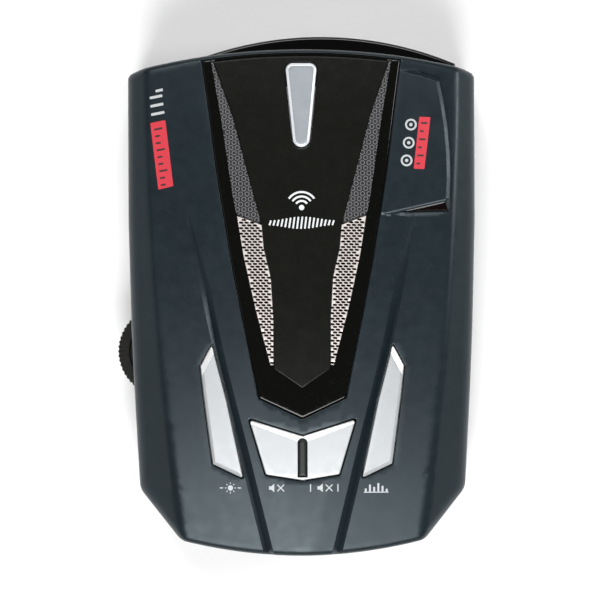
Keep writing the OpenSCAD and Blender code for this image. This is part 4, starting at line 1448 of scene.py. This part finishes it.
def stroke_depth(stroke, x, y):
    """How deep inside a stroke a place lies; a stroke is an outline, or (outer, inner) for a ring."""
    if isinstance(stroke, tuple):
        return np.minimum(depth_in(stroke[0], x, y), -depth_in(stroke[1], x, y))
    return depth_in(stroke, x, y)


def stroke_loops(stroke):
    outer, inner = stroke if isinstance(stroke, tuple) else (stroke, None)
    return [outer, grown(outer, -0.03)] + ([inner, grown(inner, 0.03)] if inner else [])


def mark(name, strokes, surface, material, proud=0.045, step=0.7):
    """Ink or a thin badge: closed strokes that follow a surface and stand a hair above it."""

    def depth(x, y):
        return np.max([stroke_depth(stroke, x, y) for stroke in strokes], axis=0)

    def top(x, y):
        return surface(x, y) + proud - rolled(depth(x, y), 0.03)

    def bottom(x, y):
        return surface(x, y) - 0.06

    loops = [loop for stroke in strokes for loop in stroke_loops(stroke)]
    zones = [(lambda x, y: depth(x, y) > 0, top, bottom)]
    piece(name, layered(zones, loops, (), step), "case", [material])


def ring(at, radius, width, count=40):
    """A full ring as a stroke."""
    return circle(at, radius + width / 2, count), circle(at, radius - width / 2, count)


def ring_part(at, radius, width, start, end, steps=16):
    """Part of a ring as one stroke outline."""
    return arc(at, radius + width / 2, start, end, steps) + arc(at, radius - width / 2, end, start, steps)


def badge(side, red, ticks, pale, pale_name):
    """A red bar with dark ticks on it and pale strokes beside it."""
    where = SIDE_NAME[side]
    mark(f"badge_bar_{where}", [rounded(red, 0.25, 3)], cover_height, RED_INK)
    mark(f"badge_ticks_{where}", ticks, lambda x, y: cover_height(x, y) + 0.035, DARK_INK, proud=0.03)
    mark(f"badge_{pale_name}_{where}", pale, cover_height, GREY_INK)


def left_badge():
    """A ruler-like bar, and a pale scanning mark in front of it."""
    red = [(-30.8, 35.4), (-27.7, 36.0), (-26.1, 22.5), (-29.2, 21.8)]
    first_y = 34.2
    ticks = []
    for i in range(9):
        y = first_y - i * 1.42
        x = -29.15 + (first_y - y) * 0.117
        reach = 0.2 if i % 3 else 0.85
        ticks.append(bar((x - 0.85, y - 0.15), (x + reach, y - 0.15 + 0.18 * (reach + 0.85)), 0.42))
    ends = [((-30.9, 40.5), (-28.3, 41.0)), ((-30.75, 38.8), (-28.1, 39.3)), ((-30.6, 37.1), (-27.9, 37.6)),
            ((-29.7, 41.9), (-28.2, 42.2))]
    badge(-1, red, ticks, [bar(start, end, 0.55) for start, end in ends], "strokes")


def right_badge():
    """A shorter bar, and three round range marks beside it."""
    red = [(24.0, 36.4), (26.3, 36.3), (25.0, 25.7), (22.8, 25.8)]
    first_y = 35.1
    ticks = []
    for i in range(6):
        y = first_y - i * 1.65
        x = 24.98 - (first_y - y) * 0.117
        ticks.append(bar((x - 0.65, y), (x + (0.1 if i % 2 else 0.65), y - 0.03), 0.42))
    targets = []
    for y in (34.8, 31.1, 27.5):
        at = (22.3 - (34.8 - y) * 0.125, y)
        targets += [ring(at, 1.0, 0.4), circle(at, 0.36, 16)]
    badge(1, red, ticks, targets, "marks")


MARK_Y = -39.2


def struck_speaker(x):
    """A little loudspeaker and a cross to its right."""
    y = MARK_Y
    horn = [(x, y - 0.35), (x + 0.45, y - 0.35), (x + 1.1, y - 0.9), (x + 1.1, y + 0.9), (x + 0.45, y + 0.35),
            (x, y + 0.35)]
    left, right, low, high = x + 1.7, x + 3.1, y - 0.7, y + 0.7
    return [horn, bar((left, low), (right, high), 0.24), bar((left, high), (right, low), 0.24)]


def key_marks():
    """Plain pictograms behind the keys: a lamp, a struck speaker twice, and a skyline."""
    lamp_x = -14.8
    lamp = [circle((lamp_x, MARK_Y), 0.55, 16)]
    for i in range(8):
        a = i * math.pi / 4
        ray = [(lamp_x + r * math.cos(a), MARK_Y + r * math.sin(a)) for r in (0.8, 1.15)]
        lamp.append(bar(*ray, 0.2))
    lamp += [bar((x, MARK_Y), (x + 0.7, MARK_Y), 0.24) for x in (-17.0, -13.3)]
    auto = [bar((x, -40.0), (x, -38.4), 0.24) for x in (1.6, 7.2)]
    skyline = []
    for i, rise in enumerate((0.7, 1.5, 1.0, 1.8, 1.2, 0.6)):
        x = 12.9 + i * 0.86
        skyline.append(bar((x, -40.1), (x, -40.1 + rise), 0.42))
    skyline.append(bar((12.5, -40.2), (17.6, -40.2), 0.22))
    for name, strokes in (("mark_lamp", lamp), ("mark_mute", struck_speaker(-6.9)),
                          ("mark_auto_mute", struck_speaker(3.0) + auto), ("mark_skyline", skyline)):
        mark(name, strokes, cover_height, GREY_INK, step=0.4)


def plate_emblem():
    """A generic signal mark over a symmetrical level scale."""
    source = (0, 18.0)
    icon = [circle(source, 0.55, 20)]
    icon += [ring_part(source, r, 0.42, 35, 145) for r in (1.35, 2.25, 3.15)]
    mark("emblem_signal", icon, plate_height, WHITE_INK, step=0.5)
    scale = []
    for i in range(-8, 9):
        rise = 0.5 + 0.75 * math.cos(i * math.pi / 17) ** 2
        scale.append(bar((i * 0.8 - 0.16, 14.9 - rise), (i * 0.8 + 0.16, 14.9 + rise), 0.36))
    mark("emblem_scale", scale, plate_height, WHITE_INK, step=0.5)


# ---------- Inner parts, carried over from the CAD ----------


def finish_inner_parts():
    """Each shown CAD node gets the finish of its record slot."""
    rows = [
        (plastic, "latch_plastic", (0.03, 0.032, 0.034), 0.5, {}),
        (metal, "spring_steel", (0.55, 0.55, 0.55), 0.25, {}),
        (metal, "pin_steel", (0.55, 0.55, 0.55), 0.3, {"brush": (1, 6, 1)}),
        (plastic, "dome_rubber", (0.05, 0.05, 0.055), 0.7, {"grain": 0.3, "specular": 0.3}),
        (gloss, "display_black", (0.012, 0.012, 0.014), 0.2, {}),
        (plastic, "cable_amber", (0.45, 0.24, 0.06), 0.4, {"grain": 0.5}),
        (plastic, "chip_black", (0.014, 0.014, 0.015), 0.55, {"grain": 0.08}),
        (metal, "capacitor_can", (0.42, 0.45, 0.5), 0.3, {"brush": (1, 1, 5)}),
        (metal, "shield_tin", (0.66, 0.66, 0.64), 0.35, {"brush": (6, 1, 1)}),
        (metal, "horn_cast", (0.45, 0.45, 0.46), 0.55, {"grain": 0.4, "height": 0.02}),
        (metal, "speaker_steel", (0.05, 0.052, 0.056), 0.45, {"metallic": 0.4}),
        (metal, "magnet_iron", (0.1, 0.1, 0.11), 0.6, {"grain": 0.3, "height": 0.015}),
        (plastic, "cone_black", (0.012, 0.012, 0.012), 0.6, {"grain": 0.4, "grain_height": 0.02}),
        (plastic, "gasket_rubber", (0.02, 0.02, 0.02), 0.85, {"grain": 0.25, "grain_height": 0.03}),
        (plastic, "wire_red", (0.4, 0.02, 0.02), 0.45, {}),
        (plastic, "pot_grey", (0.055, 0.06, 0.065), 0.5, {}),
        (plastic, "rotor_ivory", (0.62, 0.58, 0.46), 0.5, {}),
        (plastic, "jack_black", (0.012, 0.012, 0.013), 0.42, {}),
        (metal, "contact_brass", (0.72, 0.5, 0.2), 0.25, {}),
    ]
    finishes = {name: make(name, colour, roughness, **more) for make, name, colour, roughness, more in rows}
    finishes["board_green"] = board("board_green")
    finishes["lens_clear"] = clear("lens_clear", (0.85, 0.9, 0.95))
    finishes["screw_steel"] = BRIGHT_STEEL
    slot_of = {part["node"]: part["material_slot"] for part in frame["record"]["subparts"]}
    for name, node in frame["nodes"].items():
        if node.hide_render:
            continue
        node.data.materials.clear()
        node.data.materials.append(finishes[slot_of[name]])


def squash_soft_parts():
    """Gives the rubber domes and the latch's spring meshes of their own."""
    for node, joint, x, y, keep in (("dim_dome", "dim_press", -SIDE_DOME[0], SIDE_DOME[1], 0.6),
                                    ("city_dome", "city_press", SIDE_DOME[0], SIDE_DOME[1], 0.6),
                                    ("mute_domes", "mute_rock", 0, MUTE_DOME[1], 0.84)):
        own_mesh(frame["nodes"][node])
    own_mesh(frame["nodes"]["release_spring"])


top_cover()
bottom_cover()
bezel()
plate()
for side in SIDES:
    ring_strip(side)
    grille_mesh(side)
    side_key(side)
release_button()
mute_rocker()
rocker_rib()
front_lens()
display_window()
laser_window()
volume_wheel()
socket_ring("power_ring", POWER_Y, 1.8, 2.35)
socket_ring("earphone_ring", EARPHONE_Y, 1.86, 2.5)
case_screws()
underside_label()
left_badge()
right_badge()
key_marks()
plate_emblem()
finish_inner_parts()
squash_soft_parts()

# ---------- Floor and lights ----------


def floor():
    """A wide sheet of pale paper."""
    half = 4
    corners = [(-half, -half, 0), (half, -half, 0), (half, half, 0), (-half, half, 0)]
    mesh = bpy.data.meshes.new("floor")
    mesh.from_pydata(corners, [], [[0, 1, 2, 3]])
    n = Nodes("floor_paper")
    n.feed("Base Color", n.mix(n.noise(40, 3), (0.9, 0.9, 0.9), (0.93, 0.93, 0.93)))
    n.feed("Roughness", 0.9)
    mesh.materials.append(n.material)
    new_object("floor", mesh)


def softbox(name, at, aim, width, height, watts):
    """A rectangular lamp aimed at a point; places and sizes are in metres."""
    light = bpy.data.lights.new(name, "AREA")
    light.shape = "RECTANGLE"
    light.size = width
    light.size_y = height
    light.energy = watts
    lamp = bpy.data.objects.new(name, light)
    lamp.location = at
    lamp.rotation_euler = (Vector(aim) - Vector(at)).to_track_quat("-Z", "Y").to_euler()
    lamp.visible_camera = False
    bpy.context.scene.collection.objects.link(lamp)


def world_light(strength):
    """Even white light from all round."""
    world = bpy.data.worlds.new("world")
    world.use_nodes = True
    background = world.node_tree.nodes["Background"]
    background.inputs["Color"].default_value = (1, 1, 1, 1)
    background.inputs["Strength"].default_value = strength
    bpy.context.scene.world = world


floor()
world_light(0.055)
softbox("rear_softbox", (-0.05, -0.75, 0.95), (0, 0, 0), 0.75, 0.6, 18)
softbox("left_softbox", (-1.0, 0.1, 0.35), (0, 0, 0.02), 0.8, 0.5, 0.8)
softbox("right_softbox", (0.95, 0.2, 0.55), (0, 0, 0), 0.3, 0.4, 5)
softbox("front_softbox", (-0.1, 0.75, 1.0), (0, 0, 0), 0.8, 0.4, 9.5)
bpy.context.scene.view_settings.view_transform = "Standard"
